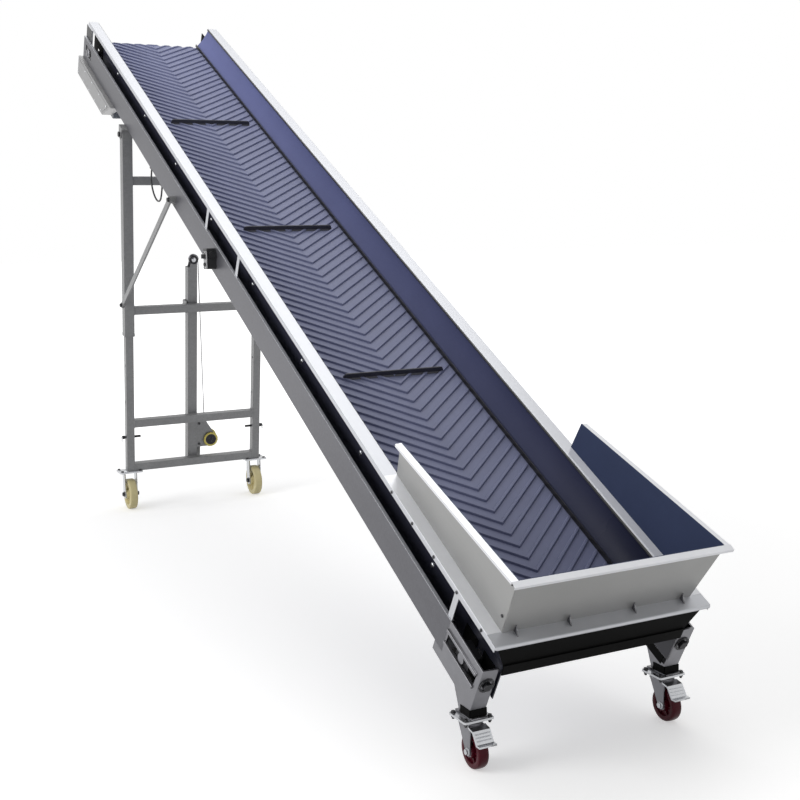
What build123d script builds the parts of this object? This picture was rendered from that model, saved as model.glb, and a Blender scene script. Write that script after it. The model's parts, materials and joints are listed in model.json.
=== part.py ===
from build123d import *
from math import cos, hypot, radians, sin, tan
import os

os.makedirs("parts", exist_ok=True)

# Driving dimensions, in millimetres and degrees.
# Deck places are given as s (up the slope from the tail end of the rails)
# and n (square to the deck, zero on top of the rails).
INCLINE = 28.0
DECK_WIDTH = 700.0
SEAT = 0.3
RUNNING = 0.3

# Top rails, folded angles
RAIL_LENGTH = 4616.0
RAIL_FLANGE = 48.0
RAIL_LIP = 18.0
RAIL_SHEET = 3.0

# Side beams, folded channels
BEAM_START = 205.0
BEAM_OVERHANG = 84.0
BEAM_DROP = 104.0
BEAM_DEPTH = 115.0
BEAM_SHEET = 4.0
BEAM_LIP = 12.0
BEAM_FLANGE = 60.0

# Trough: outer side plates, rubber skirts and the slider bed
PLATE_SHEET = 3.0
PLATE_TOP_INSET = 12.0
PLATE_INSET = 56.0
PLATE_BEND = 95.0
SKIRT_SHEET = 5.0
SKIRT_TOP_INSET = 40.0
SKIRT_FOOT_INSET = 100.0
SKIRT_BOW = 7.0
BED_SHEET = 3.0
BED_MARGIN = 2.0
BED_GAP = 14.0
TRAY_TAIL = 11.0

# Belt loop with chevron ribs and cross cleats
BELT_WIDTH = 520.0
BELT_DROP = 105.0
BELT_SHEET = 6.0
RIB_PITCH = 58.0
RIB_ANGLE = 40.0
RIB_THICK = 9.0
RIB_HEIGHT = 5.0
RIB_SPAN = 480.0
DRUM_RIBS = 3
DRUM_RIB_ARC = 120.0
CLEAT_PITCH = 1090.0
CLEAT_FIRST = 271.0
CLEAT_SPAN = 390.0
CLEAT_THICK = 10.0
CLEAT_HEIGHT = 22.0
CLEAT_COUNT = 4
RETURN_CLEAT_FIRST = 360.0

# Drums, their shafts and bearings
DRUM_RADIUS = 48.0
DRUM_MARGIN = 6.0
SHAFT_RADIUS = 15.0
TAIL_S = 118.0
HEAD_INSET = 26.0
WINDOW_LENGTH = 120.0
WINDOW_HEIGHT = 51.0
BEARING_SHEET = 8.0
BEARING_LENGTH = 170.0
BEARING_HEIGHT = 84.0
BEARING_HEADROOM = 40.0

# Cross members under the bed and rollers under the return run
CROSS_SIZE = 40.0
CROSS_WALL = 3.0
CROSS_FIRST = 420.0
CROSS_LAST = 356.0
CROSS_COUNT = 7
ROLLER_RADIUS = 19.0
ROLLER_PIN = 6.0
ROLLER_FIRST = 1000.0
ROLLER_PITCH = 980.0
ROLLER_COUNT = 3
HANGER_SHEET = 6.0
HANGER_WIDTH = 50.0
HANGER_TAIL = 12.0

# Tail brackets with take-up slots, running down into the front legs
BRACKET_START = 15.0
BRACKET_DEPTH = 147.0
BRACKET_SHEET = 6.0
SLOT_START = 36.0
SLOT_HEIGHT = 35.0
SLOT_END_WALL = 7.0
SLIDE_BAR = 10.0
SLIDE_RISE = 5.0
TOE_OVERLAP = 45.0
SHAFT_TRAVEL = 84.0
LEG_BOX = 50.0
LEG_DROP = 21.0
LEG_REACH = 96.0
LEG_TOE = 60.0
FOOT_LENGTH = 90.0
FOOT_SHEET = 6.0
BLOCK_LENGTH = 70.0
BLOCK_HEIGHT = 54.0
SCREW_RADIUS = 8.0
SCREW_HEAD = 12.0
SCREW_HEX = 14.0

# Front swivel casters
CASTER_HEIGHT = 144.0
CASTER_PLATE = 92.0
CASTER_PLATE_SHEET = 6.0
CASTER_TRAIL = 18.0
RACE_RADIUS = 32.0
RACE_HEIGHT = 14.0
KING_RADIUS = 8.0
FRONT_WHEEL_RADIUS = 50.0
FRONT_WHEEL_WIDTH = 32.0
FRONT_HUB = 15.0
FRONT_WEB = 16.0
FRONT_RIM = 34.0
FRONT_SHOULDER = 4.0
FORK_SHEET = 3.5
FORK_SIDE_GAP = 4.0
FORK_CROWN = 5.0
FORK_TOP_LENGTH = 66.0
FORK_EYE = 13.0
AXLE_RADIUS = 6.0
PEDAL_WIDTH = 54.0
PEDAL_SHEET = 5.0
PEDAL_NECK = 20.0
PEDAL_REACH = 55.0
PEDAL_DROP = 40.0
PEDAL_TOE = 15.0
PEDAL_SLACK = 3.0

# Feed hopper of three flared walls
HOPPER_LENGTH = 708.0
HOPPER_INSET = 45.0
HOPPER_FRONT = 207.0
HOPPER_REAR = 120.0
HOPPER_FLARE = 6.4
HOPPER_SHEET = 2.5
HOPPER_RIM = 20.0
HOPPER_RIM_LIP = 9.0
LINER_SHEET = 2.0
LINER_RISE = 30.0
GUSSET = 28.0
GUSSET_SHEET = 3.0
GUSSET_PLACES = (-272.0, -106.0, 106.0, 272.0)

# Posts between beam and rail
POST_WIDTH = 24.0
POST_SHEET = 3.0
POST_PLACES = (217.0, 2086.0, 2479.0)

# Drive: gear motor under the deck and chain guard on the left beam
GUARD_LENGTH = 727.0
GUARD_OVERHANG = 12.0
GUARD_DEPTH = 100.0
GUARD_WIDTH = 55.0
GUARD_PROUD = 22.0
GUARD_SLANT = 155.0
MOTOR_INSET = 185.0
MOTOR_PLATE_SHEET = 8.0
MOTOR_PLATE_LENGTH = 170.0
MOTOR_PACKER = 8.0
GEARBOX_SIZE = 100.0
GEARBOX_WIDTH = 120.0
GEARBOX_CORNER = 16.0
MOTOR_RADIUS = 50.0
MOTOR_LENGTH = 230.0

# Control box and power cable on the left beam
CONTROL_S = 2330.0
CONTROL_WIDTH = 46.0
CONTROL_HEIGHT = 82.0
CONTROL_DEPTH = 38.0
CONTROL_CORNER = 6.0
KNOB_RADIUS = 13.0
KNOB_RISE = 16.0
KNOB_LENGTH = 14.0
CABLE_RADIUS = 4.0
GLAND_RADIUS = 9.0
GLAND_LENGTH = 22.0
GLAND_TAPER = 8.0
CABLE_LOW_BACK = 610.0
CABLE_HIGH_BACK = 430.0
CABLE_INSET = 18.0
CABLE_ARC_SHARE = 0.45

# Rear legs: outer tubes on the deck, inner tubes on the wheels
LEG_LEAN = 8.3
LEG_X = 345.0
LEG_INSET = 856.0
OUTER_TUBE = 50.0
INNER_TUBE = 40.0
TUBE_WALL = 3.0
SLEEVE_FOOT = 941.0
TUBE_OVERLAP = 300.0
TUBE_HEAD = 20.0
BAR_SIZE = 40.0
TOP_BAR_DROP = 224.0
SLEEVE_BAR = 1066.0
LOW_BAR = 468.0
PIVOT_DROP = 32.0
PIVOT_RADIUS = 8.0
LUG_SHEET = 6.0
LUG_LENGTH = 56.0
LUG_BELOW = 20.0
LUG_BASE = 8.0
PIVOT_HEAD = 8.0
PIVOT_HEX = 13.0
STRUT_WIDTH = 30.0
STRUT_SHEET = 8.0
STRUT_BACK = 868.0
STRUT_TOP_DROP = 181.0
STRUT_FOOT = 1096.0
STRUT_BOSS = 16.0
PIN_HOLES = (395.0, 584.0, 779.0)
PIN_RADIUS = 6.0
PIN_INNER = 36.0
PIN_OUTER = 20.0
PIN_KNOB = 9.0
PIN_KNOB_LENGTH = 14.0

# Lifting mast with its pulley, hand winch and wire
MAST_TUBE = 50.0
MAST_GAP = 5.0
MAST_TOP = 1324.0
PULLEY_RADIUS = 26.0
PULLEY_WIDTH = 14.0
PULLEY_GROOVE = 5.0
PULLEY_X = 12.0
CHEEK_SHEET = 5.0
CHEEK_RISE = 12.0
CHEEK_TOP = 13.0
GUIDE_SHEET = 6.0
GUIDE_HEIGHT = 60.0
WINCH_X = 100.0
WINCH_A = 334.0
WINCH_SHEET = 4.0
WINCH_REACH = 95.0
WINCH_LOW = 295.0
WINCH_HIGH = 442.0
WINCH_DEPTH = 50.0
WINCH_DRUM = 20.0
WINCH_FLANGE = 34.0
WINCH_GEAR = 47.0
WINCH_GEAR_WIDTH = 8.0
WINCH_SHAFT = 7.0
CRANK_X = 56.0
CRANK_A = 392.0
CRANK_SHAFT = 8.0
CRANK_OUT = 34.0
CRANK_ARM = 190.0
CRANK_WIDTH = 24.0
CRANK_SHEET = 6.0
GRIP_RADIUS = 13.0
GRIP_LENGTH = 90.0
WIRE_RADIUS = 2.5

# Rear fixed casters
REAR_HEIGHT = 205.0
REAR_PLATE = 120.0
REAR_PLATE_DEPTH = 100.0
REAR_PLATE_SHEET = 8.0
REAR_WHEEL_RADIUS = 80.0
REAR_WHEEL_WIDTH = 40.0
REAR_HUB = 24.0
REAR_WEB = 20.0
REAR_RIM = 56.0
REAR_SHOULDER = 6.0
HUB_FLARE = 4.0
RIM_FLARE = 4.0
REAR_FORK_SHEET = 5.0
REAR_FORK_GAP = 8.0
REAR_FORK_WIDTH = 44.0
REAR_AXLE = 8.0

# Worked out from the driving dimensions
SIDES = (("left", -1), ("right", 1))
SLOPE = radians(INCLINE)
LEAN = radians(LEG_LEAN)
FLARE = radians(HOPPER_FLARE)
ACROSS = Vector(1, 0, 0)
ALONG = Vector(0, cos(SLOPE), sin(SLOPE))
SQUARE = Vector(0, -sin(SLOPE), cos(SLOPE))
LEG_UP = Vector(0, -sin(LEAN), cos(LEAN))
LEG_FORWARD = Vector(0, cos(LEAN), sin(LEAN))

HALF = DECK_WIDTH / 2
BEAM_TOP = -BEAM_DROP
BEAM_FOOT = -BEAM_DROP - BEAM_DEPTH
BELT_OUTER = DRUM_RADIUS + RUNNING + BELT_SHEET
BELT_INNER = DRUM_RADIUS + RUNNING
HEAD_S = RAIL_LENGTH - HEAD_INSET
LEG_TOP_S = RAIL_LENGTH - LEG_INSET
STRUT_TOP_S = LEG_TOP_S - STRUT_BACK
CABLE_LOW_S = LEG_TOP_S - CABLE_LOW_BACK
CABLE_HIGH_S = LEG_TOP_S - CABLE_HIGH_BACK
CROSS_PITCH = (RAIL_LENGTH - CROSS_FIRST - CROSS_LAST) / (CROSS_COUNT - 1)
BEAM_END = RAIL_LENGTH + BEAM_OVERHANG
GUARD_END = BEAM_END + GUARD_OVERHANG
GUARD_START = GUARD_END - GUARD_LENGTH
MOTOR_S = GUARD_START + MOTOR_INSET
DRUM_N = -BELT_DROP - BELT_OUTER
RETURN_N = DRUM_N - BELT_OUTER
BED_TOP = -BELT_DROP - BELT_SHEET - SEAT
PLATE_X = HALF - PLATE_INSET
BRACKET_FOOT = BEAM_TOP - BRACKET_DEPTH
BRACKET_TOP = BEAM_TOP
FOOT_TOP = CASTER_HEIGHT + FOOT_SHEET
DECK_Z = FOOT_TOP + LEG_DROP - BRACKET_START * sin(SLOPE) - BRACKET_FOOT * cos(SLOPE)

RIM_S = HOPPER_INSET - HOPPER_FRONT * tan(FLARE) - HOPPER_RIM * cos(FLARE)
RIM_N = HOPPER_FRONT - HOPPER_RIM * sin(FLARE)
FRONT_REACH = RIM_S * cos(SLOPE) - RIM_N * sin(SLOPE)
GUARD_FOOT = BEAM_FOOT - GUARD_DEPTH
BACK_REACH = GUARD_END * cos(SLOPE) - GUARD_FOOT * sin(SLOPE)
DECK_Y = -(FRONT_REACH + BACK_REACH) / 2


def deck_point(x, s, n):
    """A place on the deck as a point of the part's frame."""
    return Vector(x, DECK_Y, DECK_Z) + ALONG * s + SQUARE * n


def side_plane(x):
    """Plane of a deck side: local x runs up the slope, local y square to it."""
    return Plane(origin=deck_point(x, 0, 0), x_dir=ALONG, z_dir=ACROSS)


def cross_plane(s):
    """Plane across the deck: local x is across, local y square to the deck."""
    return Plane(origin=deck_point(0, s, 0), x_dir=ACROSS, z_dir=-ALONG)


def deck_plane(n):
    """Plane parallel to the deck: local x is across, local y up the slope."""
    return Plane(origin=deck_point(0, 0, n), x_dir=ACROSS, z_dir=SQUARE)


def handed(points, sign):
    """Profile points of the right-hand piece, or mirrored for the left-hand one."""
    return [(sign * x, n) for x, n in points]


def save(builder, name):
    """Label a finished piece and write it."""
    builder.part.label = name
    export_step(builder.part, f"parts/{name}.step")


PIVOT_N = BEAM_FOOT - LUG_BASE - PIVOT_DROP
PIVOT = deck_point(0, LEG_TOP_S, PIVOT_N)
PIVOT_A = PIVOT.Z / cos(LEAN)
LEG_Y = PIVOT.Y + PIVOT.Z * tan(LEAN)


def leg_point(x, f, a):
    """A place on the rear legs: f towards the head, a up along the leg."""
    return Vector(x, LEG_Y, 0) + LEG_FORWARD * f + LEG_UP * a


def leg_section(a):
    """Plane square to the legs at height a: local x across, local y forward."""
    return Plane(origin=leg_point(0, 0, a), x_dir=ACROSS, z_dir=LEG_UP)


def leg_side(x):
    """Plane beside the legs: local x forward, local y up along the leg."""
    return Plane(origin=leg_point(x, 0, 0), x_dir=LEG_FORWARD, z_dir=ACROSS)


def leg_front(f):
    """Plane across the legs: local x across, local y up along the leg."""
    return Plane(origin=leg_point(0, f, 0), x_dir=ACROSS, z_dir=-LEG_FORWARD)


# Top rails, side beams, side plates and skirts
for side, sign in SIDES:
    rail_outline = [
        (HALF, 0),
        (HALF - RAIL_FLANGE, 0),
        (HALF - RAIL_FLANGE, -RAIL_SHEET),
        (HALF - RAIL_SHEET, -RAIL_SHEET),
        (HALF - RAIL_SHEET, -RAIL_LIP),
        (HALF, -RAIL_LIP),
    ]
    with BuildPart() as top_rail:
        with BuildSketch(cross_plane(RAIL_LENGTH)):
            Polygon(*handed(rail_outline, sign), align=None)
        extrude(amount=RAIL_LENGTH)
    save(top_rail, f"top_rail_{side}")

    beam_outline = [
        (HALF, BEAM_TOP),
        (HALF - BEAM_LIP, BEAM_TOP),
        (HALF - BEAM_LIP, BEAM_TOP - BEAM_SHEET),
        (HALF - BEAM_SHEET, BEAM_TOP - BEAM_SHEET),
        (HALF - BEAM_SHEET, BEAM_FOOT + BEAM_SHEET),
        (HALF - BEAM_FLANGE, BEAM_FOOT + BEAM_SHEET),
        (HALF - BEAM_FLANGE, BEAM_FOOT),
        (HALF, BEAM_FOOT),
    ]
    with BuildPart() as side_beam:
        with BuildSketch(cross_plane(BEAM_END)):
            Polygon(*handed(beam_outline, sign), align=None)
        extrude(amount=BEAM_END - BEAM_START)
        with BuildSketch(side_plane(sign * HALF)):
            with Locations((HEAD_S, DRUM_N)):
                Rectangle(WINDOW_LENGTH, WINDOW_HEIGHT)
        extrude(amount=2 * BEAM_SHEET, both=True, mode=Mode.SUBTRACT)
    save(side_beam, f"side_beam_{side}")

    top_x = HALF - PLATE_TOP_INSET
    lean_run = PLATE_SHEET * hypot(top_x - PLATE_X, PLATE_BEND) / PLATE_BEND
    plate_outline = [
        (top_x, -RAIL_SHEET),
        (PLATE_X, -PLATE_BEND),
        (PLATE_X, BEAM_FOOT + BEAM_SHEET),
        (PLATE_X - PLATE_SHEET, BEAM_FOOT + BEAM_SHEET),
        (PLATE_X - PLATE_SHEET, -PLATE_BEND),
        (top_x - lean_run, -RAIL_SHEET),
    ]
    with BuildPart() as side_plate:
        with BuildSketch(cross_plane(RAIL_LENGTH)):
            Polygon(*handed(plate_outline, sign), align=None)
        extrude(amount=RAIL_LENGTH - TRAY_TAIL)
        with BuildSketch(side_plane(sign * PLATE_X)):
            with Locations((HEAD_S, DRUM_N)):
                Rectangle(WINDOW_LENGTH, WINDOW_HEIGHT)
            with Locations((TAIL_S, DRUM_N)):
                Rectangle(SHAFT_TRAVEL, SLOT_HEIGHT)
        extrude(amount=2 * PLATE_SHEET, both=True, mode=Mode.SUBTRACT)
    save(side_plate, f"side_plate_{side}")

    skirt_top = (HALF - SKIRT_TOP_INSET, -RAIL_SHEET)
    skirt_foot = (HALF - SKIRT_FOOT_INSET, -BELT_DROP + SEAT)
    middle = (
        (skirt_top[0] + skirt_foot[0]) / 2 + SKIRT_BOW,
        (skirt_top[1] + skirt_foot[1]) / 2 - SKIRT_BOW / 2,
    )
    inner = handed([(x - SKIRT_SHEET, n) for x, n in (skirt_top, middle, skirt_foot)], sign)
    outer = handed([skirt_top, middle, skirt_foot], sign)
    with BuildPart() as skirt:
        with BuildSketch(cross_plane(RAIL_LENGTH)):
            with BuildLine():
                ThreePointArc(*inner)
                Line(inner[2], outer[2])
                ThreePointArc(*reversed(outer))
                Line(outer[0], inner[0])
            make_face()
        extrude(amount=RAIL_LENGTH - TRAY_TAIL)
    save(skirt, f"skirt_{side}")

# Slider bed under the carrying run
bed_start = TAIL_S + DRUM_RADIUS + BED_GAP
bed_end = HEAD_S - DRUM_RADIUS - BED_GAP
with BuildPart() as slider_bed:
    with BuildSketch(deck_plane(BED_TOP)):
        with Locations((0, (bed_start + bed_end) / 2)):
            Rectangle(BELT_WIDTH + 2 * BED_MARGIN, bed_end - bed_start)
    extrude(amount=-BED_SHEET)
save(slider_bed, "slider_bed")

# Cross members between the side plates
with BuildPart() as cross_members:
    with BuildSketch(side_plane(-PLATE_X + PLATE_SHEET)):
        for count in range(CROSS_COUNT):
            with Locations((CROSS_FIRST + count * CROSS_PITCH, BED_TOP - BED_SHEET - CROSS_SIZE / 2)):
                Rectangle(CROSS_SIZE, CROSS_SIZE)
                Rectangle(CROSS_SIZE - 2 * CROSS_WALL, CROSS_SIZE - 2 * CROSS_WALL, mode=Mode.SUBTRACT)
    extrude(amount=2 * (PLATE_X - PLATE_SHEET))
save(cross_members, "cross_members")

# Belt: one loop round both drums, its ribs in chevrons on both runs,
# straight over the drums, and a row of cross cleats
run_length = HEAD_S - TAIL_S
rib_reach = RIB_SPAN / 2 * tan(radians(RIB_ANGLE))
rib_run = RIB_THICK / cos(radians(RIB_ANGLE))
chevron = [
    (0, 0),
    (RIB_SPAN / 2, rib_reach),
    (RIB_SPAN / 2, rib_reach + rib_run),
    (0, rib_run),
    (-RIB_SPAN / 2, rib_reach + rib_run),
    (-RIB_SPAN / 2, rib_reach),
]
first_rib = -int(rib_reach / RIB_PITCH) - 1
rib_places = [k * RIB_PITCH for k in range(first_rib, int(run_length / RIB_PITCH) + 1)]
with BuildPart() as belt:
    with BuildSketch(side_plane(-BELT_WIDTH / 2)):
        with Locations(((TAIL_S + HEAD_S) / 2, DRUM_N)):
            SlotCenterToCenter(run_length, 2 * BELT_OUTER)
            SlotCenterToCenter(run_length, 2 * BELT_INNER, mode=Mode.SUBTRACT)
    extrude(amount=BELT_WIDTH)
    with BuildSketch(deck_plane(-BELT_DROP)):
        for place in rib_places:
            with Locations((0, TAIL_S + place)):
                Polygon(*chevron, align=None)
        with Locations((0, TAIL_S + run_length / 2)):
            Rectangle(BELT_WIDTH, run_length, mode=Mode.INTERSECT)
    extrude(amount=RIB_HEIGHT)
    with BuildSketch(deck_plane(RETURN_N)):
        for place in rib_places:
            with Locations((0, HEAD_S - place)):
                Polygon(*[(x, -s) for x, s in chevron], align=None)
        with Locations((0, TAIL_S + run_length / 2)):
            Rectangle(BELT_WIDTH, run_length, mode=Mode.INTERSECT)
    extrude(amount=-RIB_HEIGHT)
    with BuildSketch(side_plane(-RIB_SPAN / 2)):
        for drum_s, start in ((TAIL_S, 180.0), (HEAD_S, 0.0)):
            with Locations((drum_s, DRUM_N)):
                with PolarLocations(
                    BELT_OUTER,
                    DRUM_RIBS,
                    start_angle=start - DRUM_RIB_ARC / 2,
                    angular_range=DRUM_RIB_ARC,
                    endpoint=True,
                ):
                    Rectangle(2 * RIB_HEIGHT, RIB_THICK)
                Circle(BELT_OUTER, mode=Mode.SUBTRACT)
    extrude(amount=RIB_SPAN)
    with BuildSketch(deck_plane(-BELT_DROP)):
        for count in range(CLEAT_COUNT):
            with Locations((0, CLEAT_FIRST + count * CLEAT_PITCH)):
                Rectangle(CLEAT_SPAN, CLEAT_THICK)
    extrude(amount=CLEAT_HEIGHT)
    with BuildSketch(deck_plane(RETURN_N)):
        for count in range(CLEAT_COUNT):
            with Locations((0, RETURN_CLEAT_FIRST + count * CLEAT_PITCH)):
                Rectangle(CLEAT_SPAN, CLEAT_THICK)
    extrude(amount=-CLEAT_HEIGHT)
save(belt, "belt")

# Drums with their shafts, the head shaft ending in the chain guard
DRUMS = (
    # name, place up the slope, left shaft end, right shaft end
    ("tail_drum", TAIL_S, HALF, HALF),
    ("head_drum", HEAD_S, HALF + BEARING_SHEET, HALF + BEARING_SHEET),
)
for name, drum_s, left_end, right_end in DRUMS:
    with BuildPart() as drum:
        with BuildSketch(side_plane(-BELT_WIDTH / 2 - DRUM_MARGIN)):
            with Locations((drum_s, DRUM_N)):
                Circle(DRUM_RADIUS)
        extrude(amount=BELT_WIDTH + 2 * DRUM_MARGIN)
        with BuildSketch(side_plane(-left_end)):
            with Locations((drum_s, DRUM_N)):
                Circle(SHAFT_RADIUS)
        extrude(amount=left_end + right_end)
    save(drum, name)

# Bearing plates of the head drum, bolted inside the beam webs and standing up at the end
with BuildPart() as head_bearings:
    for side, sign in SIDES:
        face = HALF - BEAM_SHEET
        low = min(sign * face, sign * (face - BEARING_SHEET))
        with BuildSketch(side_plane(low)):
            with Locations((HEAD_S, DRUM_N)):
                RectangleRounded(BEARING_LENGTH, BEARING_HEIGHT, BEARING_SHEET)
                Circle(SHAFT_RADIUS + RUNNING, mode=Mode.SUBTRACT)
        extrude(amount=BEARING_SHEET)
        within = HALF - BEAM_LIP
        low = min(sign * within, sign * (within - BEARING_SHEET))
        with BuildSketch(side_plane(low)):
            with Locations(((HEAD_S + BEAM_END) / 2, (DRUM_N - BEARING_HEADROOM) / 2)):
                Rectangle(BEAM_END - HEAD_S, -BEARING_HEADROOM - DRUM_N)
            with Locations((HEAD_S, DRUM_N)):
                Circle(SHAFT_RADIUS + RUNNING, mode=Mode.SUBTRACT)
        extrude(amount=BEARING_SHEET)
save(head_bearings, "head_bearings")

# Return rollers on hanger plates under the beam flanges
roller_n = RETURN_N - RIB_HEIGHT - SEAT - ROLLER_RADIUS
hanger_x = PLATE_X + PLATE_SHEET
with BuildPart() as return_rollers:
    for count in range(ROLLER_COUNT):
        roller_s = ROLLER_FIRST + count * ROLLER_PITCH
        with BuildSketch(side_plane(-BELT_WIDTH / 2)):
            with Locations((roller_s, roller_n)):
                Circle(ROLLER_RADIUS)
        extrude(amount=BELT_WIDTH)
        with BuildSketch(side_plane(-hanger_x)):
            with Locations((roller_s, roller_n)):
                Circle(ROLLER_PIN)
        extrude(amount=2 * hanger_x)
        for sign in (-1, 1):
            low = min(sign * hanger_x, sign * (hanger_x + HANGER_SHEET))
            with BuildSketch(side_plane(low)):
                with BuildLine():
                    Polyline(
                        (roller_s - HANGER_WIDTH / 2, BEAM_FOOT),
                        (roller_s + HANGER_WIDTH / 2, BEAM_FOOT),
                        (roller_s + ROLLER_RADIUS, roller_n - HANGER_TAIL),
                        (roller_s - ROLLER_RADIUS, roller_n - HANGER_TAIL),
                        close=True,
                    )
                make_face()
            extrude(amount=HANGER_SHEET)
save(return_rollers, "return_rollers")

# Tail panel closing the trough under the hopper
with BuildPart() as tail_panel:
    with BuildSketch(cross_plane(TRAY_TAIL)):
        Polygon(
            (HALF - PLATE_TOP_INSET, -RAIL_SHEET),
            (-HALF + PLATE_TOP_INSET, -RAIL_SHEET),
            (-PLATE_X, -PLATE_BEND),
            (PLATE_X, -PLATE_BEND),
            align=None,
        )
    extrude(amount=PLATE_SHEET)
save(tail_panel, "tail_panel")

# Tail brackets: slotted sheet, front plate and a folded leg, open behind, down to the foot
slot_end = BEAM_START - SLOT_END_WALL
toe_end = BEAM_START + TOE_OVERLAP
toe_top = BEAM_FOOT - SEAT
bar_off = (SLOT_HEIGHT + SLIDE_BAR) / 2
corner = deck_point(0, BRACKET_START, BRACKET_FOOT)
heel = deck_point(0, BRACKET_START + LEG_REACH, BRACKET_FOOT)
KING_Y = corner.Y + FOOT_LENGTH / 2 - CASTER_TRAIL / 2
FRONT_X = HALF - LEG_BOX / 2
for side, sign in SIDES:
    outer_face = min(sign * HALF, sign * (HALF - BRACKET_SHEET))
    bar_face = min(sign * HALF, sign * (HALF + SLIDE_RISE))
    box_face = min(sign * HALF, sign * (HALF - LEG_BOX))
    inner_face = min(sign * (HALF - LEG_BOX), sign * (HALF - LEG_BOX + BRACKET_SHEET))
    with BuildPart() as take_up:
        with BuildSketch(side_plane(outer_face)):
            with Locations(((BRACKET_START + BEAM_START) / 2, (BRACKET_TOP + BRACKET_FOOT) / 2)):
                Rectangle(BEAM_START - BRACKET_START, BRACKET_DEPTH)
            with Locations(((SLOT_START + slot_end) / 2, DRUM_N)):
                Rectangle(slot_end - SLOT_START, SLOT_HEIGHT, mode=Mode.SUBTRACT)
            with Locations(((BRACKET_START + toe_end) / 2, (BRACKET_FOOT + toe_top) / 2)):
                Rectangle(toe_end - BRACKET_START, toe_top - BRACKET_FOOT)
        extrude(amount=BRACKET_SHEET)
        with BuildSketch(side_plane(bar_face)):
            for above in (-1, 1):
                with Locations(((SLOT_START + BEAM_START) / 2, DRUM_N + above * bar_off)):
                    Rectangle(BEAM_START - SLOT_START, SLIDE_BAR)
        extrude(amount=SLIDE_RISE)
        with BuildSketch(side_plane(box_face)):
            with Locations((BRACKET_START + BRACKET_SHEET / 2, (BRACKET_TOP + BRACKET_FOOT) / 2)):
                Rectangle(BRACKET_SHEET, BRACKET_DEPTH)
            with Locations(((BRACKET_START + BEAM_START) / 2, BRACKET_FOOT + BRACKET_SHEET / 2)):
                Rectangle(BEAM_START - BRACKET_START, BRACKET_SHEET)
        extrude(amount=LEG_BOX)
        for face in (outer_face, inner_face):
            with BuildSketch(Plane.YZ.offset(face)):
                Polygon(
                    (corner.Y, corner.Z),
                    (heel.Y, heel.Z),
                    (corner.Y + LEG_TOE, FOOT_TOP),
                    (corner.Y, FOOT_TOP),
                    align=None,
                )
            extrude(amount=BRACKET_SHEET)
        with BuildSketch(Plane.YZ.offset(box_face)):
            Polygon(
                (corner.Y, corner.Z),
                (corner.Y + BRACKET_SHEET, corner.Z + BRACKET_SHEET * tan(SLOPE)),
                (corner.Y + BRACKET_SHEET, FOOT_TOP),
                (corner.Y, FOOT_TOP),
                align=None,
            )
        extrude(amount=LEG_BOX)
        with BuildSketch(Plane.XY.offset(CASTER_HEIGHT)):
            with Locations((sign * FRONT_X, KING_Y)):
                Rectangle(LEG_BOX, FOOT_LENGTH)
        extrude(amount=FOOT_SHEET)
        with BuildSketch(cross_plane(BRACKET_START + BRACKET_SHEET)):
            with Locations((sign * (HALF - LEG_BOX / 2), DRUM_N)):
                Circle(SCREW_RADIUS + RUNNING)
        extrude(amount=2 * BRACKET_SHEET, both=True, mode=Mode.SUBTRACT)
    save(take_up, f"take_up_{side}")

# Take-up blocks that carry the tail shaft, each with its screw
with BuildPart() as take_up_blocks:
    for side, sign in SIDES:
        block_face = min(
            sign * (HALF - BRACKET_SHEET - SEAT), sign * (HALF - LEG_BOX + BRACKET_SHEET)
        )
        with BuildSketch(side_plane(block_face)):
            with Locations((TAIL_S, DRUM_N)):
                Rectangle(BLOCK_LENGTH, BLOCK_HEIGHT)
                Circle(SHAFT_RADIUS + RUNNING, mode=Mode.SUBTRACT)
        extrude(amount=LEG_BOX - 2 * BRACKET_SHEET - SEAT)
        with BuildSketch(cross_plane(TAIL_S - BLOCK_LENGTH / 2)):
            with Locations((sign * (HALF - LEG_BOX / 2), DRUM_N)):
                Circle(SCREW_RADIUS)
        extrude(amount=TAIL_S - BLOCK_LENGTH / 2 - BRACKET_START)
        with BuildSketch(cross_plane(BRACKET_START)):
            with Locations((sign * (HALF - LEG_BOX / 2), DRUM_N)):
                RegularPolygon(SCREW_HEX, 6)
        extrude(amount=SCREW_HEAD)
save(take_up_blocks, "take_up_blocks")

# Posts between the beams and the rails
with BuildPart() as rail_posts:
    for sign in (-1, 1):
        face = min(sign * (HALF - RAIL_SHEET), sign * (HALF - RAIL_SHEET - POST_SHEET))
        with BuildSketch(side_plane(face)):
            for place in POST_PLACES:
                with Locations((place, (BEAM_TOP - RAIL_SHEET) / 2)):
                    Rectangle(POST_WIDTH, -RAIL_SHEET - BEAM_TOP)
        extrude(amount=POST_SHEET)
save(rail_posts, "rail_posts")

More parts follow.
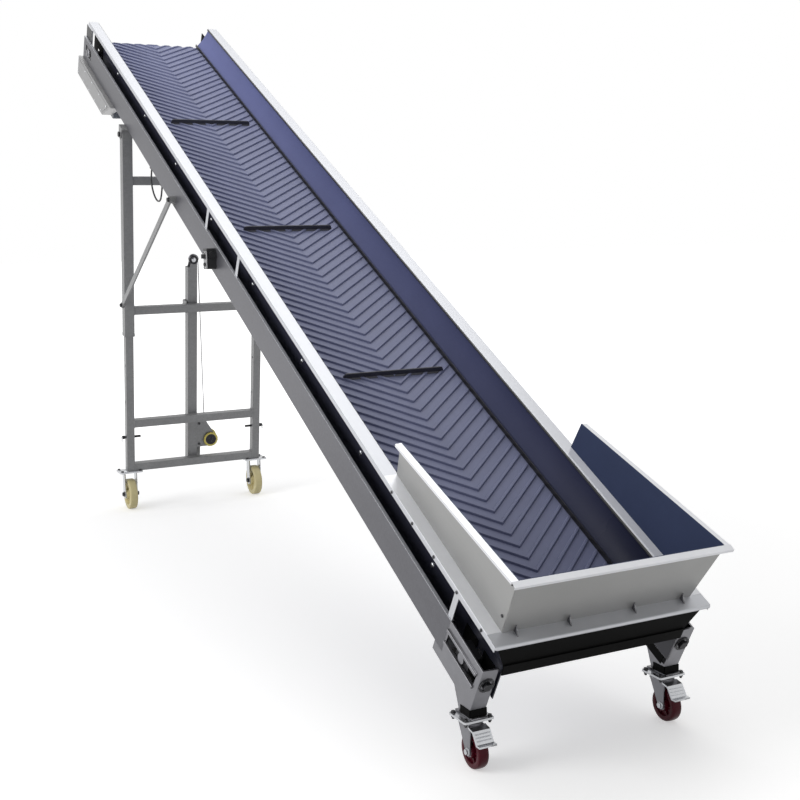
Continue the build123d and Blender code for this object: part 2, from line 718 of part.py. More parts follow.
# Feed hopper: flared side walls, front wall and dark inner liners
wall_base = HALF - HOPPER_INSET
slant_front = HOPPER_FRONT / cos(FLARE)
slant_rear = HOPPER_REAR / cos(FLARE)
lean_front = HOPPER_FRONT * tan(FLARE)
front_s = HOPPER_INSET
wall_foot = HOPPER_SHEET / 2
for side, sign in SIDES:
    wall_plane = Plane(
        origin=deck_point(sign * wall_base, 0, 0),
        x_dir=ALONG,
        z_dir=ACROSS * (sign * cos(FLARE)) - SQUARE * sin(FLARE),
    )
    up = sign
    start_s = front_s + SEAT
    wall_outline = [
        (start_s, up * wall_foot),
        (HOPPER_LENGTH, up * wall_foot),
        (HOPPER_LENGTH, up * slant_rear),
        (start_s - lean_front, up * slant_front),
    ]
    rim_outline, lip_outline = [
        [
            (start_s - lean_front, up * slant_front),
            (HOPPER_LENGTH, up * slant_rear),
            (HOPPER_LENGTH, up * (slant_rear - depth)),
            (start_s - (slant_front - depth) * sin(FLARE), up * (slant_front - depth)),
        ]
        for depth in (HOPPER_SHEET, HOPPER_RIM_LIP)
    ]
    with BuildPart() as hopper_wall:
        with BuildSketch(wall_plane):
            Polygon(*wall_outline, align=None)
        extrude(amount=HOPPER_SHEET)
        with BuildSketch(wall_plane):
            Polygon(*rim_outline, align=None)
        extrude(amount=HOPPER_RIM)
        with BuildSketch(wall_plane.offset(HOPPER_RIM - HOPPER_SHEET)):
            Polygon(*lip_outline, align=None)
        extrude(amount=HOPPER_SHEET)
        with BuildSketch(deck_plane(0)):
            with Locations((sign * (HALF - HOPPER_INSET / 2), (start_s + HOPPER_LENGTH) / 2)):
                Rectangle(HOPPER_INSET, HOPPER_LENGTH - start_s)
        extrude(amount=HOPPER_SHEET)
    save(hopper_wall, f"hopper_{side}")

front_plane = Plane(
    origin=deck_point(0, front_s, 0),
    x_dir=ACROSS,
    z_dir=-ALONG * cos(FLARE) - SQUARE * sin(FLARE),
)
foot_x = wall_base + HOPPER_SHEET
head_x = wall_base + lean_front + HOPPER_SHEET
rim_x = wall_base + lean_front + HOPPER_RIM
with BuildPart() as hopper_front:
    with BuildSketch(front_plane):
        Polygon(
            (foot_x, wall_foot),
            (head_x, slant_front),
            (-head_x, slant_front),
            (-foot_x, wall_foot),
            align=None,
        )
    extrude(amount=HOPPER_SHEET)
    with BuildSketch(front_plane):
        with Locations((0, slant_front - HOPPER_SHEET / 2)):
            Rectangle(2 * rim_x, HOPPER_SHEET)
    extrude(amount=HOPPER_RIM)
    with BuildSketch(front_plane.offset(HOPPER_RIM - HOPPER_SHEET)):
        with Locations((0, slant_front - HOPPER_RIM_LIP / 2)):
            Rectangle(2 * rim_x, HOPPER_RIM_LIP)
    extrude(amount=HOPPER_SHEET)
    with BuildSketch(deck_plane(0)):
        with Locations((0, front_s / 2)):
            Rectangle(DECK_WIDTH, front_s)
    extrude(amount=HOPPER_SHEET)
    for place in GUSSET_PLACES:
        with BuildSketch(side_plane(place - GUSSET_SHEET / 2)):
            Polygon((front_s, 0), (front_s - GUSSET * tan(FLARE), GUSSET), (front_s - GUSSET, 0), align=None)
        extrude(amount=GUSSET_SHEET)
save(hopper_front, "hopper_front")

with BuildPart() as hopper_liner:
    with BuildSketch(front_plane):
        Polygon(
            (wall_base - LINER_SHEET, LINER_RISE),
            (wall_base + lean_front - LINER_SHEET, slant_front),
            (-wall_base - lean_front + LINER_SHEET, slant_front),
            (-wall_base + LINER_SHEET, LINER_RISE),
            align=None,
        )
    extrude(amount=-LINER_SHEET)
    for side, sign in SIDES:
        wall_plane = Plane(
            origin=deck_point(sign * wall_base, 0, 0),
            x_dir=ALONG,
            z_dir=ACROSS * (sign * cos(FLARE)) - SQUARE * sin(FLARE),
        )
        with BuildSketch(wall_plane):
            Polygon(
                (front_s + 2 * LINER_SHEET, sign * LINER_RISE),
                (HOPPER_LENGTH, sign * LINER_RISE),
                (HOPPER_LENGTH, sign * slant_rear),
                (front_s - lean_front + 2 * LINER_SHEET, sign * slant_front),
                align=None,
            )
        extrude(amount=-LINER_SHEET)
save(hopper_liner, "hopper_liner")

# Chain guard under the left beam
guard_face = -HALF - GUARD_PROUD
with BuildPart() as chain_guard:
    with BuildSketch(side_plane(guard_face)):
        with BuildLine():
            Polyline(
                (GUARD_START, BEAM_FOOT),
                (GUARD_END, BEAM_FOOT),
                (GUARD_END, GUARD_FOOT),
                (GUARD_START + GUARD_SLANT, GUARD_FOOT),
                close=True,
            )
        make_face()
    extrude(amount=GUARD_WIDTH)
save(chain_guard, "chain_guard")

# Gear motor on its plate under the beams
plate_top = BEAM_FOOT - MOTOR_PACKER
gearbox_x = guard_face + GUARD_WIDTH
plate_right = HALF - BEAM_SHEET
flange_edge = HALF - BEAM_FLANGE
MOTOR_PACKERS = (
    # left edge, right edge
    (gearbox_x, -flange_edge),
    (flange_edge, plate_right),
)
with BuildPart() as gear_motor:
    with BuildSketch(deck_plane(plate_top)):
        with Locations(((gearbox_x + plate_right) / 2, MOTOR_S)):
            Rectangle(plate_right - gearbox_x, MOTOR_PLATE_LENGTH)
    extrude(amount=-MOTOR_PLATE_SHEET)
    for left, right in MOTOR_PACKERS:
        with BuildSketch(deck_plane(BEAM_FOOT)):
            with Locations(((left + right) / 2, MOTOR_S)):
                Rectangle(right - left, MOTOR_PLATE_LENGTH)
        extrude(amount=-MOTOR_PACKER)
    box_n = plate_top - MOTOR_PLATE_SHEET - GEARBOX_SIZE / 2
    with BuildSketch(side_plane(gearbox_x)):
        with Locations((MOTOR_S, box_n)):
            RectangleRounded(GEARBOX_SIZE, GEARBOX_SIZE, GEARBOX_CORNER)
    extrude(amount=GEARBOX_WIDTH)
    with BuildSketch(side_plane(gearbox_x + GEARBOX_WIDTH)):
        with Locations((MOTOR_S, box_n)):
            Circle(MOTOR_RADIUS)
    extrude(amount=MOTOR_LENGTH)
save(gear_motor, "gear_motor")

# Control box on the left beam, hanging upright
control_at = deck_point(-HALF, CONTROL_S, BEAM_TOP - BEAM_DEPTH / 2)
with BuildPart() as control_box:
    with BuildSketch(Plane.YZ.offset(-HALF - CONTROL_DEPTH)):
        with Locations((control_at.Y, control_at.Z)):
            RectangleRounded(CONTROL_WIDTH, CONTROL_HEIGHT, CONTROL_CORNER)
    extrude(amount=CONTROL_DEPTH)
    with BuildSketch(Plane.XZ.offset(-control_at.Y + CONTROL_WIDTH / 2)):
        with Locations((-HALF - CONTROL_DEPTH / 2, control_at.Z + KNOB_RISE)):
            Circle(KNOB_RADIUS)
    extrude(amount=KNOB_LENGTH)
save(control_box, "control_box")

# Power cable: a free loop between two glands under the left beam
cable_x = -HALF + CABLE_INSET
low_gland = deck_point(cable_x, CABLE_LOW_S, BEAM_FOOT - GLAND_LENGTH - SEAT)
high_gland = deck_point(cable_x, CABLE_HIGH_S, BEAM_FOOT - GLAND_LENGTH - SEAT)
with BuildPart() as cable_glands:
    with BuildSketch(deck_plane(BEAM_FOOT)):
        for place in (CABLE_LOW_S, CABLE_HIGH_S):
            with Locations((cable_x, place)):
                Circle(GLAND_RADIUS)
    extrude(amount=-GLAND_LENGTH, taper=GLAND_TAPER)
save(cable_glands, "cable_glands")

CABLE_ROUTE = [
    # x, forward and up from the higher gland
    (0, 0, 0),
    (0, 20, -37),
    (2, 18, -84),
    (4, -14, -128),
    (4, -66, -152),
    (3, -112, -146),
    (1, -140, -120),
    (0, low_gland.Y - high_gland.Y, low_gland.Z - high_gland.Z),
]
cable_points = [high_gland + Vector(*step) for step in CABLE_ROUTE]
cable_radii = []
for before, here, after in zip(cable_points, cable_points[1:], cable_points[2:]):
    turn = (here - before).get_angle(after - here)
    shorter = min((here - before).length, (after - here).length)
    cable_radii.append(CABLE_ARC_SHARE * shorter / tan(radians(turn / 2)))
print("cable radii", [round(radius) for radius in cable_radii])
with BuildPart() as power_cable:
    with BuildLine():
        cable_line = FilletPolyline(*cable_points, radius=cable_radii)
    with BuildSketch(Plane(origin=cable_line @ 0, z_dir=cable_line % 0)):
        Circle(CABLE_RADIUS)
    sweep(path=cable_line)
print("cable length", round(cable_line.length))
save(power_cable, "power_cable")

# Lugs under the beams that hold the leg heads, and their pivot bolts
lug_inner = LEG_X - OUTER_TUBE / 2 - SEAT - LUG_SHEET
lug_outer = LEG_X + OUTER_TUBE / 2 + SEAT
with BuildPart() as leg_brackets:
    for sign in (-1, 1):
        with BuildSketch(deck_plane(BEAM_FOOT)):
            with Locations((sign * (lug_inner + lug_outer + LUG_SHEET) / 2, LEG_TOP_S)):
                Rectangle(lug_outer + LUG_SHEET - lug_inner, LUG_LENGTH)
        extrude(amount=-LUG_BASE)
        for lug_x in (lug_inner, lug_outer):
            with BuildSketch(side_plane(min(sign * lug_x, sign * (lug_x + LUG_SHEET)))):
                with BuildLine():
                    Line((LEG_TOP_S - LUG_LENGTH / 2, BEAM_FOOT), (LEG_TOP_S - LUG_BELOW, PIVOT_N))
                    ThreePointArc(
                        (LEG_TOP_S - LUG_BELOW, PIVOT_N),
                        (LEG_TOP_S, PIVOT_N - LUG_BELOW),
                        (LEG_TOP_S + LUG_BELOW, PIVOT_N),
                    )
                    Line((LEG_TOP_S + LUG_BELOW, PIVOT_N), (LEG_TOP_S + LUG_LENGTH / 2, BEAM_FOOT))
                    Line((LEG_TOP_S + LUG_LENGTH / 2, BEAM_FOOT), (LEG_TOP_S - LUG_LENGTH / 2, BEAM_FOOT))
                make_face()
                with Locations((LEG_TOP_S, PIVOT_N)):
                    Circle(PIVOT_RADIUS + RUNNING, mode=Mode.SUBTRACT)
            extrude(amount=LUG_SHEET)
save(leg_brackets, "leg_brackets")

with BuildPart() as leg_pivots:
    for sign in (-1, 1):
        ends = (sign * (lug_inner - PIVOT_HEAD), sign * (lug_outer + LUG_SHEET))
        with BuildSketch(side_plane(min(ends))):
            with Locations((LEG_TOP_S, PIVOT_N)):
                Circle(PIVOT_RADIUS)
        extrude(amount=max(ends) - min(ends))
        for face in (lug_inner - PIVOT_HEAD - SEAT, lug_outer + LUG_SHEET + SEAT):
            with BuildSketch(side_plane(min(sign * face, sign * (face + PIVOT_HEAD)))):
                with Locations((LEG_TOP_S, PIVOT_N)):
                    RegularPolygon(PIVOT_HEX, 6)
            extrude(amount=PIVOT_HEAD)
save(leg_pivots, "leg_pivots")

# Outer leg tubes and the two bars between them
sleeve_bore = INNER_TUBE + 2 * RUNNING
for side, sign in SIDES:
    with BuildPart() as upper_leg:
        with BuildSketch(leg_section(SLEEVE_FOOT)):
            with Locations((sign * LEG_X, 0)):
                Rectangle(OUTER_TUBE, OUTER_TUBE)
                Rectangle(sleeve_bore, sleeve_bore, mode=Mode.SUBTRACT)
        extrude(amount=PIVOT_A + TUBE_HEAD - SLEEVE_FOOT)
        with BuildSketch(leg_side(sign * LEG_X)):
            with Locations((0, PIVOT_A)):
                Circle(PIVOT_RADIUS + RUNNING)
        extrude(amount=OUTER_TUBE, both=True, mode=Mode.SUBTRACT)
    save(upper_leg, f"upper_leg_{side}")

bar_half = LEG_X - OUTER_TUBE / 2
mast_front = BAR_SIZE / 2 + MAST_GAP
mast_back = mast_front + MAST_TUBE
guide_x = -MAST_TUBE / 2 - MAST_GAP
with BuildPart() as upper_crossbars:
    for bar_a in (PIVOT_A - TOP_BAR_DROP, SLEEVE_BAR):
        with BuildSketch(leg_side(-bar_half)):
            with Locations((0, bar_a)):
                Rectangle(BAR_SIZE, BAR_SIZE)
                Rectangle(BAR_SIZE - 2 * TUBE_WALL, BAR_SIZE - 2 * TUBE_WALL, mode=Mode.SUBTRACT)
        extrude(amount=2 * bar_half)
    with BuildSketch(leg_section(SLEEVE_BAR - GUIDE_HEIGHT / 2)):
        with BuildLine():
            Polyline(
                (guide_x, BAR_SIZE / 2),
                (guide_x, mast_back + MAST_GAP),
                (0, mast_back + MAST_GAP),
                (0, mast_back + MAST_GAP + GUIDE_SHEET),
                (guide_x - GUIDE_SHEET, mast_back + MAST_GAP + GUIDE_SHEET),
                (guide_x - GUIDE_SHEET, BAR_SIZE / 2),
                close=True,
            )
        make_face()
    extrude(amount=GUIDE_HEIGHT)
save(upper_crossbars, "upper_crossbars")

# Flat struts from the beam faces down to the outer tubes
strut_x = LEG_X + OUTER_TUBE / 2
strut_top = deck_point(0, STRUT_TOP_S, -STRUT_TOP_DROP)
strut_foot = leg_point(0, 0, STRUT_FOOT)
strut_line = strut_top - strut_foot
strut_plane = Plane(
    origin=(strut_foot + strut_top) * 0.5, x_dir=strut_line.normalized(), z_dir=ACROSS
)
with BuildPart() as leg_struts:
    for sign in (-1, 1):
        with BuildSketch(strut_plane.offset(min(sign * strut_x, sign * (strut_x + STRUT_SHEET)))):
            SlotCenterToCenter(strut_line.length, STRUT_WIDTH)
        extrude(amount=STRUT_SHEET)
        with BuildSketch(side_plane(min(sign * HALF, sign * strut_x))):
            with Locations((STRUT_TOP_S, -STRUT_TOP_DROP)):
                Circle(STRUT_BOSS)
        extrude(amount=strut_x - HALF)
save(leg_struts, "leg_struts")

# Inner leg tubes, cut level on the caster plates, and their bars
tube_top = SLEEVE_FOOT + TUBE_OVERLAP
for side, sign in SIDES:
    with BuildPart() as lower_leg:
        with BuildSketch(leg_section(0)):
            with Locations((sign * LEG_X, 0)):
                Rectangle(INNER_TUBE, INNER_TUBE)
                Rectangle(INNER_TUBE - 2 * TUBE_WALL, INNER_TUBE - 2 * TUBE_WALL, mode=Mode.SUBTRACT)
        extrude(amount=tube_top)
        split(bisect_by=Plane.XY.offset(REAR_HEIGHT), keep=Keep.TOP)
        with BuildSketch(leg_side(sign * LEG_X)):
            for hole_a in PIN_HOLES:
                with Locations((0, hole_a)):
                    Circle(PIN_RADIUS + RUNNING)
        extrude(amount=INNER_TUBE, both=True, mode=Mode.SUBTRACT)
    save(lower_leg, f"lower_leg_{side}")

inner_half = LEG_X - INNER_TUBE / 2
foot_bar = (REAR_HEIGHT + BAR_SIZE / 2) / cos(LEAN) + BAR_SIZE / 2 * tan(LEAN)
with BuildPart() as lower_crossbars:
    for bar_a in (LOW_BAR, foot_bar):
        with BuildSketch(leg_side(-inner_half)):
            with Locations((0, bar_a)):
                Rectangle(BAR_SIZE, BAR_SIZE)
                Rectangle(BAR_SIZE - 2 * TUBE_WALL, BAR_SIZE - 2 * TUBE_WALL, mode=Mode.SUBTRACT)
        extrude(amount=2 * inner_half)
        with BuildSketch(leg_front(mast_front)):
            with Locations((0, bar_a)):
                Rectangle(MAST_TUBE, BAR_SIZE)
        extrude(amount=MAST_GAP)
save(lower_crossbars, "lower_crossbars")

# Locking pins through the lowest holes
with BuildPart() as locking_pins:
    for sign in (-1, 1):
        ends = (
            sign * (LEG_X - INNER_TUBE / 2 - PIN_INNER),
            sign * (LEG_X + INNER_TUBE / 2 + PIN_OUTER),
        )
        with BuildSketch(leg_side(min(ends))):
            with Locations((0, PIN_HOLES[0])):
                Circle(PIN_RADIUS)
        extrude(amount=max(ends) - min(ends))
        knob_end = sign * (LEG_X + INNER_TUBE / 2 + PIN_OUTER - PIN_KNOB_LENGTH)
        with BuildSketch(leg_side(min(knob_end, knob_end + sign * PIN_KNOB_LENGTH))):
            with Locations((0, PIN_HOLES[0])):
                Circle(PIN_KNOB)
        extrude(amount=PIN_KNOB_LENGTH)
save(locking_pins, "locking_pins")

# Lifting mast behind the bars, with cheeks for the pulley
mast_mid = (mast_front + mast_back) / 2
mast_foot = foot_bar - BAR_SIZE / 2
pulley_a = MAST_TOP - CHEEK_RISE
tube_head = pulley_a - PULLEY_RADIUS - CHEEK_RISE
with BuildPart() as mast:
    with BuildSketch(leg_section(mast_foot)):
        with Locations((0, mast_mid)):
            Rectangle(MAST_TUBE, MAST_TUBE)
            Rectangle(MAST_TUBE - 2 * TUBE_WALL, MAST_TUBE - 2 * TUBE_WALL, mode=Mode.SUBTRACT)
    extrude(amount=tube_head - mast_foot)
    for f in (mast_front, mast_back - CHEEK_SHEET):
        with BuildSketch(leg_front(f + CHEEK_SHEET)):
            with BuildLine():
                Polyline(
                    (-MAST_TUBE / 2, tube_head - MAST_TUBE),
                    (MAST_TUBE / 2, tube_head - MAST_TUBE),
                    (PULLEY_X + CHEEK_TOP, MAST_TOP),
                    (PULLEY_X - CHEEK_TOP, MAST_TOP),
                    close=True,
                )
            make_face()
        extrude(amount=CHEEK_SHEET)
    with BuildSketch(leg_front(mast_back)):
        with Locations((PULLEY_X, pulley_a)):
            Circle(AXLE_RADIUS)
    extrude(amount=MAST_TUBE)
save(mast, "mast")

with BuildPart() as mast_pulley:
    pulley_centre = leg_point(PULLEY_X, mast_mid, pulley_a)
    with BuildSketch(Plane(origin=pulley_centre, x_dir=LEG_FORWARD, z_dir=-ACROSS)):
        Polygon(
            (-PULLEY_WIDTH / 2, AXLE_RADIUS + RUNNING),
            (PULLEY_WIDTH / 2, AXLE_RADIUS + RUNNING),
            (PULLEY_WIDTH / 2, PULLEY_RADIUS),
            (PULLEY_GROOVE / 2, PULLEY_RADIUS - PULLEY_GROOVE),
            (-PULLEY_GROOVE / 2, PULLEY_RADIUS - PULLEY_GROOVE),
            (-PULLEY_WIDTH / 2, PULLEY_RADIUS),
            align=None,
        )
    revolve(axis=Axis(pulley_centre, LEG_FORWARD))
save(mast_pulley, "mast_pulley")

# Winch beside the mast: two cheeks, drum with its gear, crank and wire
winch_front = mast_mid - WINCH_DEPTH / 2
winch_back = mast_mid + WINCH_DEPTH / 2
winch_left = MAST_TUBE / 2
with BuildPart() as winch_frame:
    for f in (winch_front, winch_back - WINCH_SHEET):
        with BuildSketch(leg_front(f + WINCH_SHEET)):
            with BuildLine():
                Polyline(
                    (winch_left, WINCH_LOW),
                    (winch_left + WINCH_REACH, WINCH_LOW),
                    (winch_left + WINCH_REACH, WINCH_A + WINCH_FLANGE),
                    (winch_left + WINCH_REACH / 2, WINCH_HIGH),
                    (winch_left, WINCH_HIGH),
                    close=True,
                )
            make_face()
            with Locations((WINCH_X, WINCH_A)):
                Circle(WINCH_SHAFT + RUNNING, mode=Mode.SUBTRACT)
            with Locations((CRANK_X, CRANK_A)):
                Circle(CRANK_SHAFT + RUNNING, mode=Mode.SUBTRACT)
        extrude(amount=WINCH_SHEET)
    with BuildSketch(leg_section(WINCH_LOW)):
        with Locations((winch_left + WINCH_SHEET / 2, mast_mid)):
            Rectangle(WINCH_SHEET, WINCH_DEPTH)
    extrude(amount=WINCH_HIGH - WINCH_LOW)
save(winch_frame, "winch_frame")

drum_gap = WINCH_SHEET + RUNNING
WINCH_DISCS = (
    # radius, front face, back face
    (WINCH_SHAFT, winch_front - WINCH_SHEET, winch_back + WINCH_SHEET),
    (WINCH_DRUM, winch_front + drum_gap, winch_back - drum_gap),
    (WINCH_FLANGE, winch_front + drum_gap, winch_front + drum_gap + WINCH_SHEET),
    (WINCH_GEAR, winch_back - drum_gap - WINCH_GEAR_WIDTH, winch_back - drum_gap),
)
with BuildPart() as winch_drum:
    for radius, front, back in WINCH_DISCS:
        with BuildSketch(leg_front(back)):
            with Locations((WINCH_X, WINCH_A)):
                Circle(radius)
        extrude(amount=back - front)
save(winch_drum, "winch_drum")

crank_back = winch_back + CRANK_OUT
with BuildPart() as winch_crank:
    with BuildSketch(leg_front(crank_back)):
        with Locations((CRANK_X, CRANK_A)):
            Circle(CRANK_SHAFT)
    extrude(amount=crank_back - winch_front)
    with BuildSketch(leg_front(crank_back)):
        with Locations((CRANK_X, CRANK_A - CRANK_ARM / 2)):
            SlotCenterToCenter(CRANK_ARM, CRANK_WIDTH, rotation=90)
    extrude(amount=CRANK_SHEET)
    with BuildSketch(leg_front(crank_back + GRIP_LENGTH)):
        with Locations((CRANK_X, CRANK_A - CRANK_ARM)):
            Circle(GRIP_RADIUS)
    extrude(amount=GRIP_LENGTH)
save(winch_crank, "winch_crank")

wire_foot = (WINCH_X - WINCH_DRUM - WIRE_RADIUS - SEAT, WINCH_A)
wire_head = (PULLEY_X + PULLEY_RADIUS - PULLEY_GROOVE + WIRE_RADIUS + SEAT, pulley_a)
wire_start = leg_point(wire_foot[0], mast_mid, wire_foot[1])
wire_end = leg_point(wire_head[0], mast_mid, wire_head[1])
with BuildPart() as winch_wire:
    with BuildSketch(Plane(origin=wire_start, z_dir=wire_end - wire_start)):
        Circle(WIRE_RADIUS)
    extrude(amount=(wire_end - wire_start).length)
save(winch_wire, "winch_wire")

def half_wheel(radius, tread, bore, hub, hub_end, web, rim, shoulder):
    """Right half of a wheel's section: hub, web, rim and tread with chamfered shoulders."""
    return [
        (hub_end, bore),
        (hub_end, hub),
        (web, hub + HUB_FLARE),
        (web, rim),
        (tread, rim + RIM_FLARE),
        (tread, radius - shoulder),
        (tread - shoulder, radius),
    ]


# Rear fixed casters
rear_y = LEG_Y - REAR_HEIGHT / 2 * tan(LEAN)
fork_inner = REAR_WHEEL_WIDTH / 2 + REAR_FORK_GAP
fork_outer = fork_inner + REAR_FORK_SHEET
for side, sign in SIDES:
    centre = Vector(sign * LEG_X, rear_y, REAR_WHEEL_RADIUS)
    with BuildPart() as rear_fork:
        with BuildSketch(Plane.XY.offset(REAR_HEIGHT)):
            with Locations((sign * LEG_X, rear_y)):
                RectangleRounded(REAR_PLATE, REAR_PLATE_DEPTH, REAR_PLATE_SHEET)
        extrude(amount=-REAR_PLATE_SHEET)
        for cheek in (-fork_outer, fork_inner):
            with BuildSketch(Plane.YZ.offset(centre.X + cheek)):
                with BuildLine():
                    Polyline(
                        (rear_y - REAR_FORK_WIDTH / 2, REAR_HEIGHT - REAR_PLATE_SHEET / 2),
                        (rear_y - REAR_FORK_WIDTH / 2, REAR_WHEEL_RADIUS),
                    )
                    ThreePointArc(
                        (rear_y - REAR_FORK_WIDTH / 2, REAR_WHEEL_RADIUS),
                        (rear_y, REAR_WHEEL_RADIUS - REAR_FORK_WIDTH / 2),
                        (rear_y + REAR_FORK_WIDTH / 2, REAR_WHEEL_RADIUS),
                    )
                    Polyline(
                        (rear_y + REAR_FORK_WIDTH / 2, REAR_WHEEL_RADIUS),
                        (rear_y + REAR_FORK_WIDTH / 2, REAR_HEIGHT - REAR_PLATE_SHEET / 2),
                        (rear_y - REAR_FORK_WIDTH / 2, REAR_HEIGHT - REAR_PLATE_SHEET / 2),
                    )
                make_face()
            extrude(amount=REAR_FORK_SHEET)
        with BuildSketch(Plane.YZ.offset(centre.X - fork_outer - REAR_AXLE)):
            with Locations((rear_y, REAR_WHEEL_RADIUS)):
                Circle(REAR_AXLE)
        extrude(amount=2 * (fork_outer + REAR_AXLE))
    save(rear_fork, f"rear_fork_{side}")

    rear_half = half_wheel(
        REAR_WHEEL_RADIUS,
        REAR_WHEEL_WIDTH / 2,
        REAR_AXLE + RUNNING,
        REAR_HUB,
        fork_inner - SEAT,
        REAR_WEB / 2,
        REAR_RIM,
        REAR_SHOULDER,
    )
    with BuildPart() as rear_wheel:
        with BuildSketch(Plane(origin=centre, x_dir=ACROSS, z_dir=(0, -1, 0))):
            Polygon(*rear_half, *handed(reversed(rear_half), -1), align=None)
        revolve(axis=Axis(centre, ACROSS))
    save(rear_wheel, f"rear_wheel_{side}")

# Front swivel casters: fixed plate, turning fork with brake pedal, and wheel
wheel_y = KING_Y - CASTER_TRAIL
cheek_in = FRONT_WHEEL_WIDTH / 2 + FORK_SIDE_GAP
cheek_out = cheek_in + FORK_SHEET
race_top = CASTER_HEIGHT - CASTER_PLATE_SHEET - RUNNING
crown_top = race_top - RACE_HEIGHT
for side, sign in SIDES:
    x = sign * FRONT_X
    with BuildPart() as caster_plate:
        with BuildSketch(Plane.XY.offset(CASTER_HEIGHT)):
            with Locations((x, KING_Y)):
                RectangleRounded(CASTER_PLATE, FOOT_LENGTH, CASTER_PLATE_SHEET)
        extrude(amount=-CASTER_PLATE_SHEET)
        with BuildSketch(Plane.XY.offset(CASTER_HEIGHT)):
            with Locations((x, KING_Y)):
                Circle(KING_RADIUS)
        extrude(amount=crown_top - FORK_CROWN - CASTER_HEIGHT)
    save(caster_plate, f"caster_plate_{side}")

    with BuildPart() as front_fork:
        with BuildSketch(Plane.XY.offset(crown_top)):
            with Locations((x, KING_Y)):
                Circle(RACE_RADIUS)
                Circle(KING_RADIUS + RUNNING, mode=Mode.SUBTRACT)
        extrude(amount=RACE_HEIGHT)
        with BuildSketch(Plane.XY.offset(crown_top)):
            with Locations((x, KING_Y)):
                Rectangle(2 * cheek_out, FORK_TOP_LENGTH)
                Circle(KING_RADIUS + RUNNING, mode=Mode.SUBTRACT)
        extrude(amount=-FORK_CROWN)
        for cheek in (-cheek_out, cheek_in):
            with BuildSketch(Plane.YZ.offset(x + cheek)):
                with BuildLine():
                    Polyline(
                        (wheel_y - FORK_EYE, FRONT_WHEEL_RADIUS),
                        (KING_Y - FORK_TOP_LENGTH / 2, crown_top),
                        (KING_Y + FORK_TOP_LENGTH / 2, crown_top),
                        (wheel_y + FORK_EYE, FRONT_WHEEL_RADIUS),
                    )
                    ThreePointArc(
                        (wheel_y + FORK_EYE, FRONT_WHEEL_RADIUS),
                        (wheel_y, FRONT_WHEEL_RADIUS - FORK_EYE),
                        (wheel_y - FORK_EYE, FRONT_WHEEL_RADIUS),
                    )
                make_face()
            extrude(amount=FORK_SHEET)
        with BuildSketch(Plane.YZ.offset(x - cheek_out - AXLE_RADIUS)):
            with Locations((wheel_y, FRONT_WHEEL_RADIUS)):
                Circle(AXLE_RADIUS)
        extrude(amount=2 * (cheek_out + AXLE_RADIUS))
        pedal_y = KING_Y - FORK_TOP_LENGTH / 2
        with BuildSketch(Plane.YZ.offset(x - PEDAL_WIDTH / 2)):
            with BuildLine():
                Polyline(
                    (pedal_y + PEDAL_SHEET, crown_top),
                    (pedal_y - PEDAL_NECK, crown_top - PEDAL_SHEET),
                    (pedal_y - PEDAL_REACH + PEDAL_TOE, crown_top - PEDAL_DROP + PEDAL_SHEET),
                    (pedal_y - PEDAL_REACH, crown_top - PEDAL_DROP + PEDAL_SHEET),
                    (pedal_y - PEDAL_REACH, crown_top - PEDAL_DROP),
                    (pedal_y - PEDAL_REACH + PEDAL_TOE + PEDAL_SLACK, crown_top - PEDAL_DROP),
                    (pedal_y - PEDAL_NECK + PEDAL_SLACK, crown_top - 2 * PEDAL_SHEET),
                    (pedal_y + PEDAL_SHEET, crown_top - PEDAL_SHEET),
                    close=True,
                )
            make_face()
        extrude(amount=PEDAL_WIDTH)
    save(front_fork, f"front_fork_{side}")

    front_half = half_wheel(
        FRONT_WHEEL_RADIUS,
        FRONT_WHEEL_WIDTH / 2,
        AXLE_RADIUS + RUNNING,
        FRONT_HUB,
        cheek_in - SEAT,
        FRONT_WEB / 2,
        FRONT_RIM,
        FRONT_SHOULDER,
    )
    with BuildPart() as front_wheel:
        centre = Vector(x, wheel_y, FRONT_WHEEL_RADIUS)
        with BuildSketch(Plane(origin=centre, x_dir=ACROSS, z_dir=(0, -1, 0))):
            Polygon(*front_half, *handed(reversed(front_half), -1), align=None)
        revolve(axis=Axis(centre, ACROSS))
    save(front_wheel, f"front_wheel_{side}")
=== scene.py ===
"""Dresses the packed mobile belt conveyor: sheet, belt, fasteners, casters, winch, drive and studio."""

